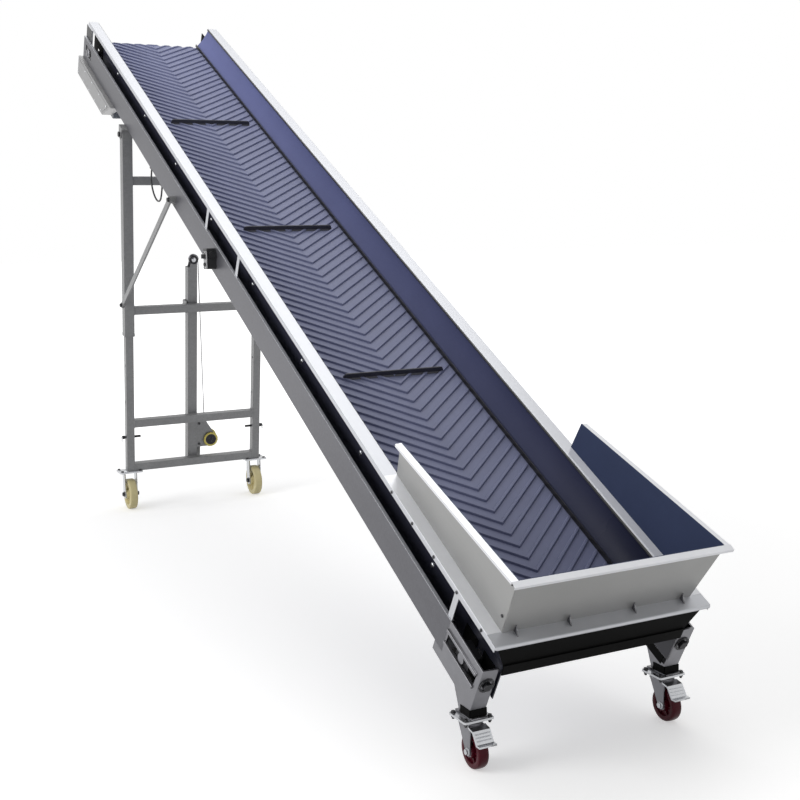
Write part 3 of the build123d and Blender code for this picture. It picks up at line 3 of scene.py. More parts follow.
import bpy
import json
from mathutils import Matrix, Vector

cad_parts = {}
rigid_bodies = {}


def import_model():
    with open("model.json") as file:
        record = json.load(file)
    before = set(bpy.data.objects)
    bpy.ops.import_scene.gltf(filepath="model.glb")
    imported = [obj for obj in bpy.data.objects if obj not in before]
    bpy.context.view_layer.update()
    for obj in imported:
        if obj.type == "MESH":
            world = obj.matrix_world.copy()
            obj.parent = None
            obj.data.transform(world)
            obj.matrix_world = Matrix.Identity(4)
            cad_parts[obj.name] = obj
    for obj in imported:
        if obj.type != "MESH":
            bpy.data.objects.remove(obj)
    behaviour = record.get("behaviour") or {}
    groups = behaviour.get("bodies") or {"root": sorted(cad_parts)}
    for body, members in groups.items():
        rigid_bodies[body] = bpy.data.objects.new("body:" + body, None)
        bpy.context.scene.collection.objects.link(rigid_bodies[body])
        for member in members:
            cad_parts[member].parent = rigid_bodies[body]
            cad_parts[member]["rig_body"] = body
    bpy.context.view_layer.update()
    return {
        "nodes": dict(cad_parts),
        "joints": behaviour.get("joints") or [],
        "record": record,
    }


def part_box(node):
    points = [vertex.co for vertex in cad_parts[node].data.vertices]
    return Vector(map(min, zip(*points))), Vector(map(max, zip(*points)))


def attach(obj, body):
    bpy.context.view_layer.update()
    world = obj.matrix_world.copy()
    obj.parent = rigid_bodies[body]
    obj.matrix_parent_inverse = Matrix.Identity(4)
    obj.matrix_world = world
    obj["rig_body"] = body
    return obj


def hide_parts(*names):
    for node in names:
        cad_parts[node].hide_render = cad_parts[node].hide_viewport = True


bl_info = {
    "name": "Belt Conveyor Dresser",
    "version": (1, 0, 0),
    "blender": (4, 5, 0),
    "location": "View3D > Sidebar > Conveyor",
    "description": "Builds the visible pieces of a mobile belt conveyor round its CAD frame",
    "category": "Object",
}

import json
from math import ceil, cos, pi, radians, sin, tan

import bmesh
import bpy
from bpy.props import FloatProperty, FloatVectorProperty, IntProperty, PointerProperty
from mathutils import Matrix, Vector

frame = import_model()
SIDES = {"left": -1, "right": 1}
SIGNS = tuple(SIDES.values())
CORNERS = ((1, 1), (-1, 1), (-1, -1), (1, -1))
SLOTS = {row["node"]: row["material_slot"] for row in frame["record"]["subparts"]}
JOINTS = {joint["name"]: joint for joint in frame["joints"]}


def hinge(name):
    """Where a hinge sits."""
    return Vector(JOINTS[name]["pos_m"])


def centre_of(node):
    """The middle of a CAD node's box."""
    low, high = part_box(node)
    return (low + high) / 2


# Deck frame: s runs up the slope from the tail end of the rails, n square to it from the rail tops
SLOPE = radians(28.0)
RAIL_LIP = 0.018
ACROSS = Vector((1, 0, 0))
FORWARD = Vector((0, 1, 0))
UP = Vector((0, 0, 1))
ALONG = Vector((0, cos(SLOPE), sin(SLOPE)))
SQUARE = Vector((0, -sin(SLOPE), cos(SLOPE)))
RAIL_LOW, RAIL_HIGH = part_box("top_rail_right")
HALF = RAIL_HIGH.x
RAIL_LENGTH = (RAIL_HIGH.z - RAIL_LOW.z - RAIL_LIP * cos(SLOPE)) / sin(SLOPE)
DECK = Vector((0, RAIL_LOW.y, RAIL_HIGH.z - RAIL_LENGTH * sin(SLOPE)))

# Leg frame: f runs towards the head, a up along the leaning rear legs
LEG_UP = Vector(JOINTS["lift"]["axis"])
LEG_FORWARD = Vector((0, LEG_UP.z, -LEG_UP.y))
REAR_AXLE = hinge("rear_roll_right")
REAR_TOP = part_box("rear_fork_right")[1].z
LEAN_RUN = -LEG_UP.y / LEG_UP.z
LEG_FOOT = Vector((0, REAR_AXLE.y + REAR_TOP / 2 * LEAN_RUN, 0))
LEG_X = REAR_AXLE.x


def deck(x, s, n):
    """A place on the deck as a point of the part's frame."""
    return DECK + ACROSS * x + ALONG * s + SQUARE * n


def on_deck(point):
    """The x, s and n of a point of the part's frame."""
    step = point - DECK
    return step.x, step.dot(ALONG), step.dot(SQUARE)


def leg(x, f, a):
    """A place on the rear legs as a point of the part's frame."""
    return LEG_FOOT + ACROSS * x + LEG_FORWARD * f + LEG_UP * a


def axes(point, right, forward, up):
    """Matrix that puts local x, y and z along three directions at a point."""
    matrix = Matrix((right, forward, up)).transposed().to_4x4()
    matrix.translation = point
    return matrix


def deck_axes(x, s, n):
    """Local x across, y up the slope, z square to the deck."""
    return axes(deck(x, s, n), ACROSS, ALONG, SQUARE)


def leg_axes(x, f, a):
    """Local x across, y forward, z up along the leg."""
    return axes(leg(x, f, a), ACROSS, LEG_FORWARD, LEG_UP)


def aimed(point, direction):
    """Matrix at a point with local z along a direction."""
    matrix = Vector(direction).to_track_quat("Z", "Y").to_matrix().to_4x4()
    matrix.translation = point
    return matrix


TAIL_S, DRUM_N = on_deck(centre_of("tail_drum"))[1:]
HEAD_S = on_deck(centre_of("head_drum"))[1]


def length(name, note, default):
    """A size that a user may change, in metres."""
    return FloatProperty(name=name, description=note, default=default, min=0, precision=4, unit="LENGTH")


def angle(name, note, default):
    """An angle that a user may change, given in degrees."""
    return FloatProperty(name=name, description=note, default=radians(default), subtype="ANGLE")


def strength(name, note, default, unit="NONE"):
    """A strength, power or focal length that a user may change."""
    return FloatProperty(name=name, description=note, default=default, min=0, unit=unit)


def colour(name, note, default):
    """A base colour that a user may change."""
    return FloatVectorProperty(
        name=name, description=note, default=default, size=3, min=0, max=1, subtype="COLOR"
    )


class ConveyorColours(bpy.types.PropertyGroup):
    """Base colours of the finishes."""

    # The rail colour also paints a highlight on the beams' up-facing flange.
    rail: colour("Rail", "Bright satin steel of rails and rims", (0.56, 0.57, 0.60))
    # The rim colour also paints highlight on the hopper's side flanges and reflection on its inner faces.
    rim: colour("Rim", "Bright edge of the hopper sheet", (0.84, 0.85, 0.88))
    beam: colour("Beam", "Dull galvanised sheet of the beams", (0.108, 0.108, 0.122))
    # The tail panel colour also paints the black sheets of painted shade under the tail, in the slots and at
    # the drum's ends.
    panel: colour("Tail panel", "Black rubber of the tail panel", (0.003, 0.003, 0.003))
    plate: colour("Side plate", "Dark paint of the side plates", (0.026, 0.027, 0.044))
    skirt: colour("Skirt", "Smooth dark blue rubber", (0.091, 0.102, 0.211))
    liner: colour("Liner", "Slate blue rubber inside the hopper", (0.044, 0.060, 0.124))
    belt: colour("Belt", "Slate rubber of the belt", (0.180, 0.196, 0.318))
    cleat: colour("Cleat", "Darker rubber of the cross cleats", (0.022, 0.022, 0.034))
    drum: colour("Drum", "Turned steel", (0.21, 0.21, 0.225))
    hopper: colour("Hopper", "Brushed sheet of the hopper", (0.35, 0.35, 0.345))
    guard: colour("Guard", "Folded sheet of the chain guard", (0.33, 0.33, 0.335))
    motor: colour("Motor", "Grey enamel", (0.085, 0.10, 0.13))
    # The plastic colour also paints the black strips of painted shadow by the skirts and in the beams'
    # window.
    plastic: colour("Plastic", "Black plastic", (0.012, 0.012, 0.014))
    bolt: colour("Dark bolt", "Blackened steel", (0.022, 0.022, 0.025))
    leg: colour("Leg", "Galvanised tube", (0.24, 0.242, 0.246))
    yellow: colour("Yellow zinc", "Yellow zinc plating", (0.42, 0.36, 0.10))
    wire: colour("Wire", "Wire rope", (0.34, 0.34, 0.35))
    zinc: colour("Bright zinc", "Plating of casters and bolts", (0.56, 0.57, 0.59))
    cream: colour("Cream nylon", "Rear wheels", (0.66, 0.58, 0.31))
    red: colour("Red tread", "Front wheels", (0.070, 0.002, 0.009))
    floor: colour("Floor", "Pale studio floor", (0.80, 0.80, 0.80))


class ConveyorBelt(bpy.types.PropertyGroup):
    """Sizes of the ribbed belt."""

    width: length("Width", "Over both edges", 0.520)
    thick: length("Thickness", "Of the carcass", 0.006)
    drop: length("Drop", "From the rail tops to the carrying face", 0.105)
    pitch: length("Rib pitch", "Between chevrons, along the belt", 0.054)
    slant: angle("Rib angle", "Of each arm against the cross line", 40)
    rib: length("Rib width", "At its foot", 0.0125)
    rib_high: length("Rib height", "Over the carcass", 0.0065)
    span: length("Rib span", "Over both arms", 0.480)
    cleat_span: length("Cleat length", "Across the belt", 0.390)
    cleat_high: length("Cleat height", "Over the carcass", 0.022)
    cleat_pitch: length("Cleat pitch", "Along the belt", 1.090)
    cleat_first: length("First cleat", "From the tail end of the rails", 0.271)
    cleat_back: length("First return cleat", "From the tail end of the rails", 0.360)
    cleats: IntProperty(name="Cleats", description="On each run", default=4, min=1)


class ConveyorFixings(bpy.types.PropertyGroup):
    """Sizes of bolts, welds and folds."""

    side_bolt: length("Side bolt", "Head radius on the side plates", 0.0085)
    side_first: length("First side bolt", "From the tail end of the rails", 0.430)
    side_pitch: length("Side bolt pitch", "Along the deck", 0.535)
    screw: length("Screw", "Head radius of the sheet screws", 0.005)
    lip_first: length("First lip screw", "From the tail end of the rails", 0.073)
    lip_pitch: length("Lip screw pitch", "Along the rail by the hopper", 0.143)
    weld: length("Weld", "Radius of the weld beads", 0.003)
    fold: length("Fold", "Rounding of folded sheet", 0.0016)


class ConveyorStage(bpy.types.PropertyGroup):
    """Camera and light."""

    camera: FloatVectorProperty(
        name="Camera", description="Place of the camera", default=(-1.8707, -4.6161, 1.4393),
        size=3, subtype="TRANSLATION",
    )
    yaw: angle("Yaw", "Turned from +Y towards +X", 26.74)
    pitch: angle("Pitch", "Tilted down", 8.08)
    roll: angle("Roll", "Turned about the view line", -1.04)
    lens: strength("Lens", "Focal length", 54.11, "CAMERA")
    fill: strength("Fill", "Strength of the even light", 0.40)
    key: strength("Key", "Power of the key panel", 220, "POWER")
    top: strength("Top", "Power of the top panel", 155, "POWER")
    lift: strength("Lift", "Paleness added to the floor near the object", 0.46)
    far_lift: strength("Far lift", "Paleness added to the far floor", 1.0)


def feed(tree, node, inputs):
    """Feed a node's inputs with values or other nodes' outputs."""
    for key, value in inputs.items():
        if isinstance(value, bpy.types.NodeSocket):
            tree.links.new(value, node.inputs[key])
        else:
            node.inputs[key].default_value = value


def wire(tree, kind, inputs=None, **settings):
    """Add a node, set its options and feed its inputs."""
    node = tree.nodes.new(kind)
    for option, value in settings.items():
        setattr(node, option, value)
    feed(tree, node, inputs or {})
    return node


def calc(tree, operation, first, second):
    """A math node's output."""
    return wire(tree, "ShaderNodeMath", {0: first, 1: second}, operation=operation).outputs[0]


def clamped(tree, value):
    """A value held between 0 and 1."""
    return wire(tree, "ShaderNodeClamp", {"Value": value}).outputs[0]


def spread(tree, value, low, high):
    """A value from 0 to 1 spread over another range."""
    return wire(tree, "ShaderNodeMapRange", {"Value": value, "To Min": low, "To Max": high}).outputs[0]


def blend_colour(tree, factor, first, second):
    """Mix of two colours."""
    return wire(tree, "ShaderNodeMix", {0: factor, 6: first, 7: second}, data_type="RGBA").outputs[2]


def noise(tree, vector, scale, detail, roughness=0.5):
    """A noise texture's value."""
    inputs = {"Vector": vector, "Scale": scale, "Detail": detail, "Roughness": roughness}
    return wire(tree, "ShaderNodeTexNoise", inputs).outputs["Fac"]


def effect_group(name, values, wiring):
    """A shader node group with a vector, named values, and one mask as its output."""
    if name in bpy.data.node_groups:
        return bpy.data.node_groups[name]
    group = bpy.data.node_groups.new(name, "ShaderNodeTree")
    group.interface.new_socket("Vector", in_out="INPUT", socket_type="NodeSocketVector")
    for label, default in values.items():
        socket = group.interface.new_socket(label, in_out="INPUT", socket_type="NodeSocketFloat")
        socket.default_value = default
    group.interface.new_socket("Mask", in_out="OUTPUT", socket_type="NodeSocketFloat")
    inlet = group.nodes.new("NodeGroupInput")
    outlet = group.nodes.new("NodeGroupOutput")
    group.links.new(wiring(group, inlet.outputs), outlet.inputs["Mask"])
    return group


def drawn_out(squeeze, detail):
    """Wiring of a noise drawn out along local y, as run-off, rolling or brushing leaves it."""

    def wiring(tree, given):
        """Noise over a squeezed vector."""
        inputs = {0: given["Vector"], 1: (1.0, squeeze, 1.0)}
        stretched = wire(tree, "ShaderNodeVectorMath", inputs, operation="MULTIPLY")
        return noise(tree, stretched.outputs[0], given["Scale"], detail)

    return wiring


def spangle_wiring(tree, given):
    """Cells of zinc crystals, each a little lighter or darker."""
    cells = wire(tree, "ShaderNodeTexVoronoi", {"Vector": given["Vector"], "Scale": given["Scale"]})
    return wire(tree, "ShaderNodeSeparateColor", {0: cells.outputs["Color"]}).outputs[0]


def mottle_wiring(tree, given):
    """Cloudy unevenness."""
    return noise(tree, given["Vector"], given["Scale"], 6.0, 0.62)


def painted_tail_shade_wiring(tree, given):
    """Grows up the slope, as the low end stays dark with what is fed there."""
    along = wire(tree, "ShaderNodeSeparateXYZ", {0: given["Vector"]}).outputs["Y"]
    share = calc(tree, "DIVIDE", calc(tree, "SUBTRACT", along, DECK.dot(ALONG)), given["Scale"])
    return clamped(tree, share)


def worn_wiring(tree, given):
    """Edges rubbed bare, broken up by a fine noise."""
    rounded_off = wire(tree, "ShaderNodeBevel", {"Radius": given["Radius"]}, samples=4).outputs[0]
    flat = wire(tree, "ShaderNodeNewGeometry").outputs["Normal"]
    facing = wire(tree, "ShaderNodeVectorMath", {0: rounded_off, 1: flat}, operation="DOT_PRODUCT")
    bare = calc(tree, "SUBTRACT", 1.0, facing.outputs["Value"])
    broken = spread(tree, noise(tree, given["Vector"], 90.0, 4.0), -4.0, 14.0)
    return clamped(tree, calc(tree, "MULTIPLY", bare, broken))


def dust_wiring(tree, given):
    """Dust on what faces up, in patches."""
    normal = wire(tree, "ShaderNodeNewGeometry").outputs["Normal"]
    upward = wire(tree, "ShaderNodeSeparateXYZ", {0: normal}).outputs["Z"]
    patches = spread(tree, noise(tree, given["Vector"], given["Scale"], 7.0), -0.5, 1.5)
    return clamped(tree, calc(tree, "MULTIPLY", upward, patches))


EFFECTS = {
    # effect: its group's name, values and wiring
    "streak": ("Rolled streaks", {"Scale": 9.0}, drawn_out(0.06, 5.0)),
    "spangle": ("Zinc spangle", {"Scale": 90.0}, spangle_wiring),
    "mottle": ("Cloudy mottle", {"Scale": 7.0}, mottle_wiring),
    "brushed": ("Brushed lines", {"Scale": 900.0}, drawn_out(0.012, 3.0)),
    # rise is painted shade: darker towards the tail end, lighter up the slope
    "rise": ("Cleaner up the slope", {"Scale": 4.0}, painted_tail_shade_wiring),
    "worn": ("Worn edges", {"Radius": 0.002}, worn_wiring),
    "dust": ("Settled dust", {"Scale": 6.0}, dust_wiring),
}


def effect(tree, kind, vector, **values):
    """The mask of an effect group, placed in a material with its own values."""
    group = wire(tree, "ShaderNodeGroup", node_tree=effect_group(*EFFECTS[kind]))
    feed(tree, group, {"Vector": vector, **values})
    return group.outputs["Mask"]


ROUGH_BY_SHADE = 0.3
ROUGH_BY_DUST = 0.5
BUMP_STRENGTH = 0.6


def finish(
    name, base, metallic, roughness, turn=0.0, shades=(), bump=None, bare=None, dust=None, coat=0.0, shine=0.5
):
    """A material: base colour shaded by effects, bumped, worn bare at edges and dusted.

    turn tilts the pattern about x, shades lists (effect, its value, amount), bump is (effect, value, depth),
    bare is (edge radius, colour), dust is (amount, colour) and shine is the specular level.
    """
    material = bpy.data.materials.new(name)
    material.use_nodes = True
    tree = material.node_tree
    shader = tree.nodes["Principled BSDF"]
    place = wire(tree, "ShaderNodeTexCoord").outputs["Object"]
    vector = wire(tree, "ShaderNodeMapping", {"Vector": place, "Rotation": (-turn, 0, 0)}).outputs[0]
    shade = 1.0
    for kind, value, amount in shades:
        mask = spread(tree, effect(tree, kind, vector, Scale=value), 1 - amount, 1 + amount)
        shade = calc(tree, "MULTIPLY", shade, mask)
    tone = wire(tree, "ShaderNodeVectorMath", {0: tuple(base), "Scale": shade}, operation="SCALE").outputs[0]
    rough = calc(tree, "MULTIPLY", calc(tree, "POWER", shade, ROUGH_BY_SHADE), roughness)
    metal = metallic
    if bare is not None:
        radius, steel = bare
        worn = effect(tree, "worn", vector, Radius=radius)
        tone = blend_colour(tree, worn, tone, (*steel, 1.0))
        metal = calc(tree, "MAXIMUM", worn, metallic)
    if dust is not None:
        amount, grey = dust
        laid = calc(tree, "MULTIPLY", effect(tree, "dust", vector), amount)
        tone = blend_colour(tree, laid, tone, (*grey, 1.0))
        rough = calc(tree, "ADD", rough, calc(tree, "MULTIPLY", laid, ROUGH_BY_DUST))
    feed(tree, shader, {"Base Color": tone, "Roughness": rough, "Metallic": metal})
    feed(tree, shader, {"Coat Weight": coat, "Specular IOR Level": shine})
    if bump is not None:
        kind, value, depth = bump
        height = effect(tree, kind, vector, Scale=value)
        inputs = {"Height": height, "Distance": depth, "Strength": BUMP_STRENGTH}
        feed(tree, shader, {"Normal": wire(tree, "ShaderNodeBump", inputs).outputs["Normal"]})
    return material


BARE_STEEL = (0.42, 0.42, 0.43)
PALE_DUST = (0.45, 0.43, 0.40)
LEAN = -0.145  # of the pattern along the rear legs


def make_finishes(tones):
    """Every finish of the conveyor, by the slot that it belongs to."""
    return {
        "rail_bright": finish(
            "bright satin rail", tones.rail, 0.55, 0.42, SLOPE,
            shades=[("streak", 14.0, 0.05), ("mottle", 30.0, 0.03)], bump=("brushed", 700.0, 0.0002),
        ),
        "beam_galvanised": finish(
            "galvanised beam", tones.beam, 0.40, 0.40, SLOPE,
            shades=[("spangle", 110.0, 0.07), ("streak", 8.0, 0.16), ("mottle", 3.0, 0.08)],
            bump=("mottle", 60.0, 0.0004), bare=(0.003, BARE_STEEL), dust=(0.12, PALE_DUST),
        ),
        "plate_dark": finish(
            "dark painted plate", tones.plate, 0.1, 0.36, SLOPE,
            # rise paints shade on the plate, darker towards the tail
            shades=[("rise", 1.6, 0.35), ("streak", 10.0, 0.25), ("mottle", 5.0, 0.2)],
            bump=("mottle", 240.0, 0.0002), bare=(0.0012, BARE_STEEL), dust=(0.06, PALE_DUST),
        ),
        "panel_rubber": finish(
            "black tail rubber", tones.panel, 0.0, 0.62, SLOPE,
            shades=[("mottle", 9.0, 0.3)], bump=("mottle", 260.0, 0.0003), shine=0.05,
        ),
        "skirt_rubber": finish(
            "blue rubber skirt", tones.skirt, 0.0, 0.40, SLOPE,
            # rise paints shade on the skirt, darker towards the tail
            shades=[("rise", 4.6, 0.90), ("streak", 5.0, 0.16), ("mottle", 4.0, 0.14)],
            bump=("mottle", 90.0, 0.0005), dust=(0.03, (0.30, 0.30, 0.40)), shine=0.08,
        ),
        "liner_rubber": finish(
            "slate hopper liner", tones.liner, 0.0, 0.45, SLOPE,
            shades=[("streak", 6.0, 0.12), ("mottle", 5.0, 0.14)], bump=("mottle", 120.0, 0.0004), shine=0.25,
        ),
        "belt_rubber": finish(
            "slate belt rubber", tones.belt, 0.0, 0.46, SLOPE,
            # rise paints light and shade on the belt, lighter towards the head
            shades=[("rise", 4.6, 0.16), ("streak", 16.0, 0.14), ("mottle", 6.0, 0.12)],
            bump=("mottle", 320.0, 0.0005), dust=(0.10, (0.30, 0.31, 0.38)), shine=0.25,
        ),
        "cleat_rubber": finish(
            "dark cleat rubber", tones.cleat, 0.0, 0.5, SLOPE,
            shades=[("mottle", 30.0, 0.25)], bump=("mottle", 300.0, 0.0005),
        ),
        "drum_steel": finish(
            "turned steel", tones.drum, 0.9, 0.32, SLOPE,
            shades=[("mottle", 24.0, 0.18)], bump=("brushed", 600.0, 0.0002), dust=(0.1, PALE_DUST),
        ),
        "hopper_stainless": finish(
            "brushed hopper sheet", tones.hopper, 0.40, 0.38, SLOPE,
            shades=[("mottle", 4.0, 0.10), ("brushed", 420.0, 0.06), ("streak", 7.0, 0.06)],
            bump=("brushed", 800.0, 0.00025),
        ),
        "rim_polish": finish(
            "bright hopper edge", tones.rim, 0.30, 0.36, SLOPE,
            shades=[("mottle", 12.0, 0.06), ("streak", 10.0, 0.05)], bump=("brushed", 700.0, 0.0002),
        ),
        "guard_sheet": finish(
            "folded guard sheet", tones.guard, 0.5, 0.4, SLOPE,
            shades=[("spangle", 120.0, 0.05), ("mottle", 5.0, 0.1)],
            bump=("mottle", 50.0, 0.0004), dust=(0.1, PALE_DUST),
        ),
        "motor_paint": finish(
            "grey enamel", tones.motor, 0.0, 0.35, SLOPE,
            shades=[("mottle", 14.0, 0.15)], bump=("mottle", 420.0, 0.0003), bare=(0.0015, BARE_STEEL),
            dust=(0.2, PALE_DUST), coat=0.2,
        ),
        "black_plastic": finish(
            "black plastic", tones.plastic, 0.0, 0.42,
            shades=[("mottle", 40.0, 0.2)], bump=("mottle", 900.0, 0.0002), dust=(0.05, PALE_DUST),
        ),
        "black_bolt": finish(
            "blackened steel", tones.bolt, 0.6, 0.38,
            shades=[("mottle", 60.0, 0.3)], bump=("mottle", 500.0, 0.0002), bare=(0.0008, BARE_STEEL),
        ),
        "leg_steel": finish(
            "galvanised tube", tones.leg, 0.25, 0.40, LEAN,
            shades=[("spangle", 130.0, 0.06), ("mottle", 6.0, 0.14), ("mottle", 40.0, 0.05)],
            bump=("mottle", 70.0, 0.0004), dust=(0.1, PALE_DUST),
        ),
        "yellow_zinc": finish(
            "yellow zinc plating", tones.yellow, 0.8, 0.34,
            shades=[("mottle", 40.0, 0.22)], bump=("mottle", 300.0, 0.0002),
        ),
        "wire_rope": finish(
            "wire rope", tones.wire, 0.85, 0.36, shades=[("mottle", 120.0, 0.3)],
        ),
        "caster_zinc": finish(
            "bright zinc plating", tones.zinc, 0.85, 0.24,
            shades=[("mottle", 26.0, 0.14)], bump=("mottle", 160.0, 0.0002),
        ),
        "cream_nylon": finish(
            "cream nylon", tones.cream, 0.0, 0.42,
            shades=[("mottle", 22.0, 0.10)], bump=("mottle", 260.0, 0.0003), dust=(0.12, (0.30, 0.26, 0.18)),
        ),
        "red_tread": finish(
            "dark red tread", tones.red, 0.0, 0.28,
            shades=[("mottle", 30.0, 0.22)], bump=("mottle", 260.0, 0.0002),
            dust=(0.02, PALE_DUST), shine=0.15,
        ),
    }


FINISHES = {}
OWN_FINISH = {"tail_panel": "panel_rubber", "hopper_liner": "liner_rubber"}
OTHER_SLOT = "plate_dark"  # of pieces whose finish is no CAD slot


def skin(bm, rings, loop=False):
    """Faces between rings of points, each ring closed, with caps or the last ring joined to the first."""
    rows = [[bm.verts.new(point) for point in ring] for ring in rings]
    pairs = list(zip(rows, rows[1:])) + ([(rows[-1], rows[0])] if loop else [])
    for row, after in pairs:
        for here in range(len(row)):
            there = (here + 1) % len(row)
            bm.faces.new((row[here], row[there], after[there], after[here]))
    if not loop:
        bm.faces.new(list(reversed(rows[0])))
        bm.faces.new(rows[-1])


def stacked(bm, matrix, layers, loop=False):
    """Skin over outlines of local x and y, each with its own local z."""
    skin(bm, [[matrix @ Vector((x, y, z)) for x, y in outline] for outline, z in layers], loop)


def polygon(radius, sides):
    """Corners of a regular outline."""
    turns = [2 * pi * k / sides for k in range(sides)]
    return [(radius * cos(turn), radius * sin(turn)) for turn in turns]


def turned(bm, matrix, profile, steps=24, ring=False):
    """Turn a profile of (radius, height) about local z; a ring's profile is a closed outline."""
    stacked(bm, matrix, [(polygon(radius, steps), height) for radius, height in profile], ring)


def prism(bm, matrix, outline, low, high):
    """Extrude an outline of local x and y from one local z to another."""
    stacked(bm, matrix, [(outline, low), (outline, high)])


def block(bm, matrix, low, high):
    """A box between two local corners."""
    outline = [(low[0], low[1]), (high[0], low[1]), (high[0], high[1]), (low[0], high[1])]
    prism(bm, matrix, outline, low[2], high[2])


def rounded(width, height, corner, steps=4):
    """Outline of a rectangle with round corners, about its middle."""
    points = []
    for k, (sx, sy) in enumerate(CORNERS):
        x, y = sx * (width / 2 - corner), sy * (height / 2 - corner)
        turns = [pi / 2 * (k + step / steps) for step in range(steps + 1)]
        points += [(x + corner * cos(turn), y + corner * sin(turn)) for turn in turns]
    return points


def tube(bm, points, radius, sides=8, loop=False):
    """A round tube along points; radius may be one value or one for each point."""
    count = len(points)
    radii = radius if isinstance(radius, list) else [radius] * count
    rings = []
    guide = None
    for k, point in enumerate(points):
        before = points[k - 1] if k or loop else point
        after = points[(k + 1) % count] if k + 1 < count or loop else point
        heading = (after - before).normalized()
        if guide is None:
            guide = heading.orthogonal()
        guide = (guide - heading * guide.dot(heading)).normalized()
        other = heading.cross(guide)
        rings.append([point + guide * u + other * v for u, v in polygon(radii[k], sides)])
    skin(bm, rings, loop)


def weld_bead(bm, corners, radius):
    """A rippled bead of weld round a closed line of corners."""
    ripple, neck = 1.1, 0.82
    points = []
    for start, end in zip(corners, corners[1:] + corners[:1]):
        count = max(2, ceil((end - start).length / (radius * ripple)))
        points += [start.lerp(end, step / count) for step in range(count)]
    radii = [radius * (1.0 if k % 2 else neck) for k in range(len(points))]
    tube(bm, points, radii, sides=6, loop=True)


def hex_bolt(bm, matrix, radius, rise=None):
    """A hexagon head on its washer, along local z."""
    rise = rise or radius * 0.72
    washer = radius * 0.2
    turned(bm, matrix, [(radius * 1.22, 0), (radius * 1.25, washer * 0.3), (radius * 1.18, washer)], 20)
    layers = [(1.0, washer * 0.9), (1.0, washer + rise * 0.86), (0.84, washer + rise)]
    stacked(bm, matrix, [(polygon(radius * share, 6), z) for share, z in layers])


def dome_bolt(bm, matrix, radius):
    """A round head, along local z."""
    profile = [(1.0, 0.0), (1.0, 0.12), (0.93, 0.30), (0.76, 0.46), (0.48, 0.57), (0.16, 0.62)]
    turned(bm, matrix, [(radius * r, radius * z) for r, z in profile], 18)


def socket_screw(bm, matrix, radius):
    """A pan head with a round recess, along local z."""
    profile = [(1.0, 0.0), (1.0, 0.35), (0.8, 0.55), (0.34, 0.55), (0.26, 0.25)]
    turned(bm, matrix, [(radius * r, radius * z) for r, z in profile], 14)


def paint(bm, start, index):
    """Give the faces added since start another of the piece's finishes."""
    bm.faces.ensure_lookup_table()
    for face in bm.faces[start:]:
        face.material_index = index


SHARP = radians(32)
FLAT = radians(1)
MERGE = 1e-6


def make_piece(name, bm, body, finishes, nodes=(), bevel=0.0):
    """Turn a bmesh into a piece that rides on a body; its first finish is its slot."""
    bmesh.ops.recalc_face_normals(bm, faces=bm.faces)
    weights = bm.edges.layers.float.new("bevel_weight_edge")
    for face in bm.faces:
        face.smooth = True
    for edge in bm.edges:
        if edge.calc_face_angle(0.0) > SHARP:
            rounds = bevel > 0 and edge.calc_length() > 4 * bevel
            edge[weights] = 1.0 if rounds else 0.0
            edge.smooth = rounds
    mesh = bpy.data.meshes.new(name)
    bm.to_mesh(mesh)
    bm.free()
    for slot in finishes:
        mesh.materials.append(FINISHES[slot])
    piece = bpy.data.objects.new(name, mesh)
    bpy.context.scene.collection.objects.link(piece)
    if bevel > 0:
        modifier = piece.modifiers.new("rounded edges", "BEVEL")
        modifier.limit_method = "WEIGHT"
        modifier.width = bevel
        modifier.segments = 2
        piece.modifiers.new("flat faces", "WEIGHTED_NORMAL").keep_sharp = True
    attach(piece, body)
    finishes[0] if finishes[0] in SLOTS.values() else OTHER_SLOT
    if nodes:
        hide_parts(*nodes)


def formed(node, bevel, finishes=None, pick=None):
    """A copy of a CAD node with its edges rounded; pick gives a face's finish from its middle and normal."""
    source = frame["nodes"][node]
    bm = bmesh.new()
    bm.from_mesh(source.data)
    bmesh.ops.remove_doubles(bm, verts=bm.verts, dist=MERGE)
    bmesh.ops.dissolve_limit(bm, angle_limit=FLAT, verts=bm.verts, edges=bm.edges)
    if pick is not None:
        bm.normal_update()
        for face in bm.faces:
            face.material_index = pick(face.calc_center_median(), face.normal)
    make_piece(f"{node}_formed", bm, source["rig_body"], finishes or [SLOTS[node]], (node,), bevel)


class ConveyorFinishNodes(bpy.types.Operator):
    """Give every CAD node the finish of its slot"""

    bl_idname = "conveyor.finish_nodes"
    bl_label = "Finish CAD nodes"

    def execute(self, context):
        FINISHES.update(make_finishes(context.scene.conveyor_colours))
        for name, node in frame["nodes"].items():
            node.data.materials.clear()
            node.data.materials.append(FINISHES[OWN_FINISH.get(name, SLOTS[name])])
        return {"FINISHED"}


class ConveyorFoldSheet(bpy.types.Operator):
    """Round the folds of rails, beams, brackets, tubes and bars"""

    bl_idname = "conveyor.fold_sheet"
    bl_label = "Fold sheet"

    paired = ("top_rail", "side_beam", "take_up", "upper_leg", "lower_leg", "caster_plate", "rear_fork")
    single = (
        "rail_posts", "leg_brackets", "leg_struts", "upper_crossbars", "lower_crossbars",
        "mast", "winch_frame",
    )
    # Least facing up of a beam face that gets the painted highlight
    facing = 0.8

    def execute(self, context):
        fold = context.scene.conveyor_fixings.fold
        nodes = [f"{name}_{side}" for name in self.paired for side in SIDES]
        for node in nodes + list(self.single):
            if node.startswith("side_beam"):
                # The beams' up-facing flange gets the rail finish as a painted highlight.
                formed(node, fold, ["beam_galvanised", "rail_bright"], self.beam_highlight_pick)
            elif node.startswith("take_up"):
                formed(node, fold, ["drum_steel"])
            else:
                formed(node, fold)
        return {"FINISHED"}

    def beam_highlight_pick(self, middle, normal):
        """Paler on the flange that faces up."""
        return 1 if normal.dot(SQUARE) > self.facing else 0


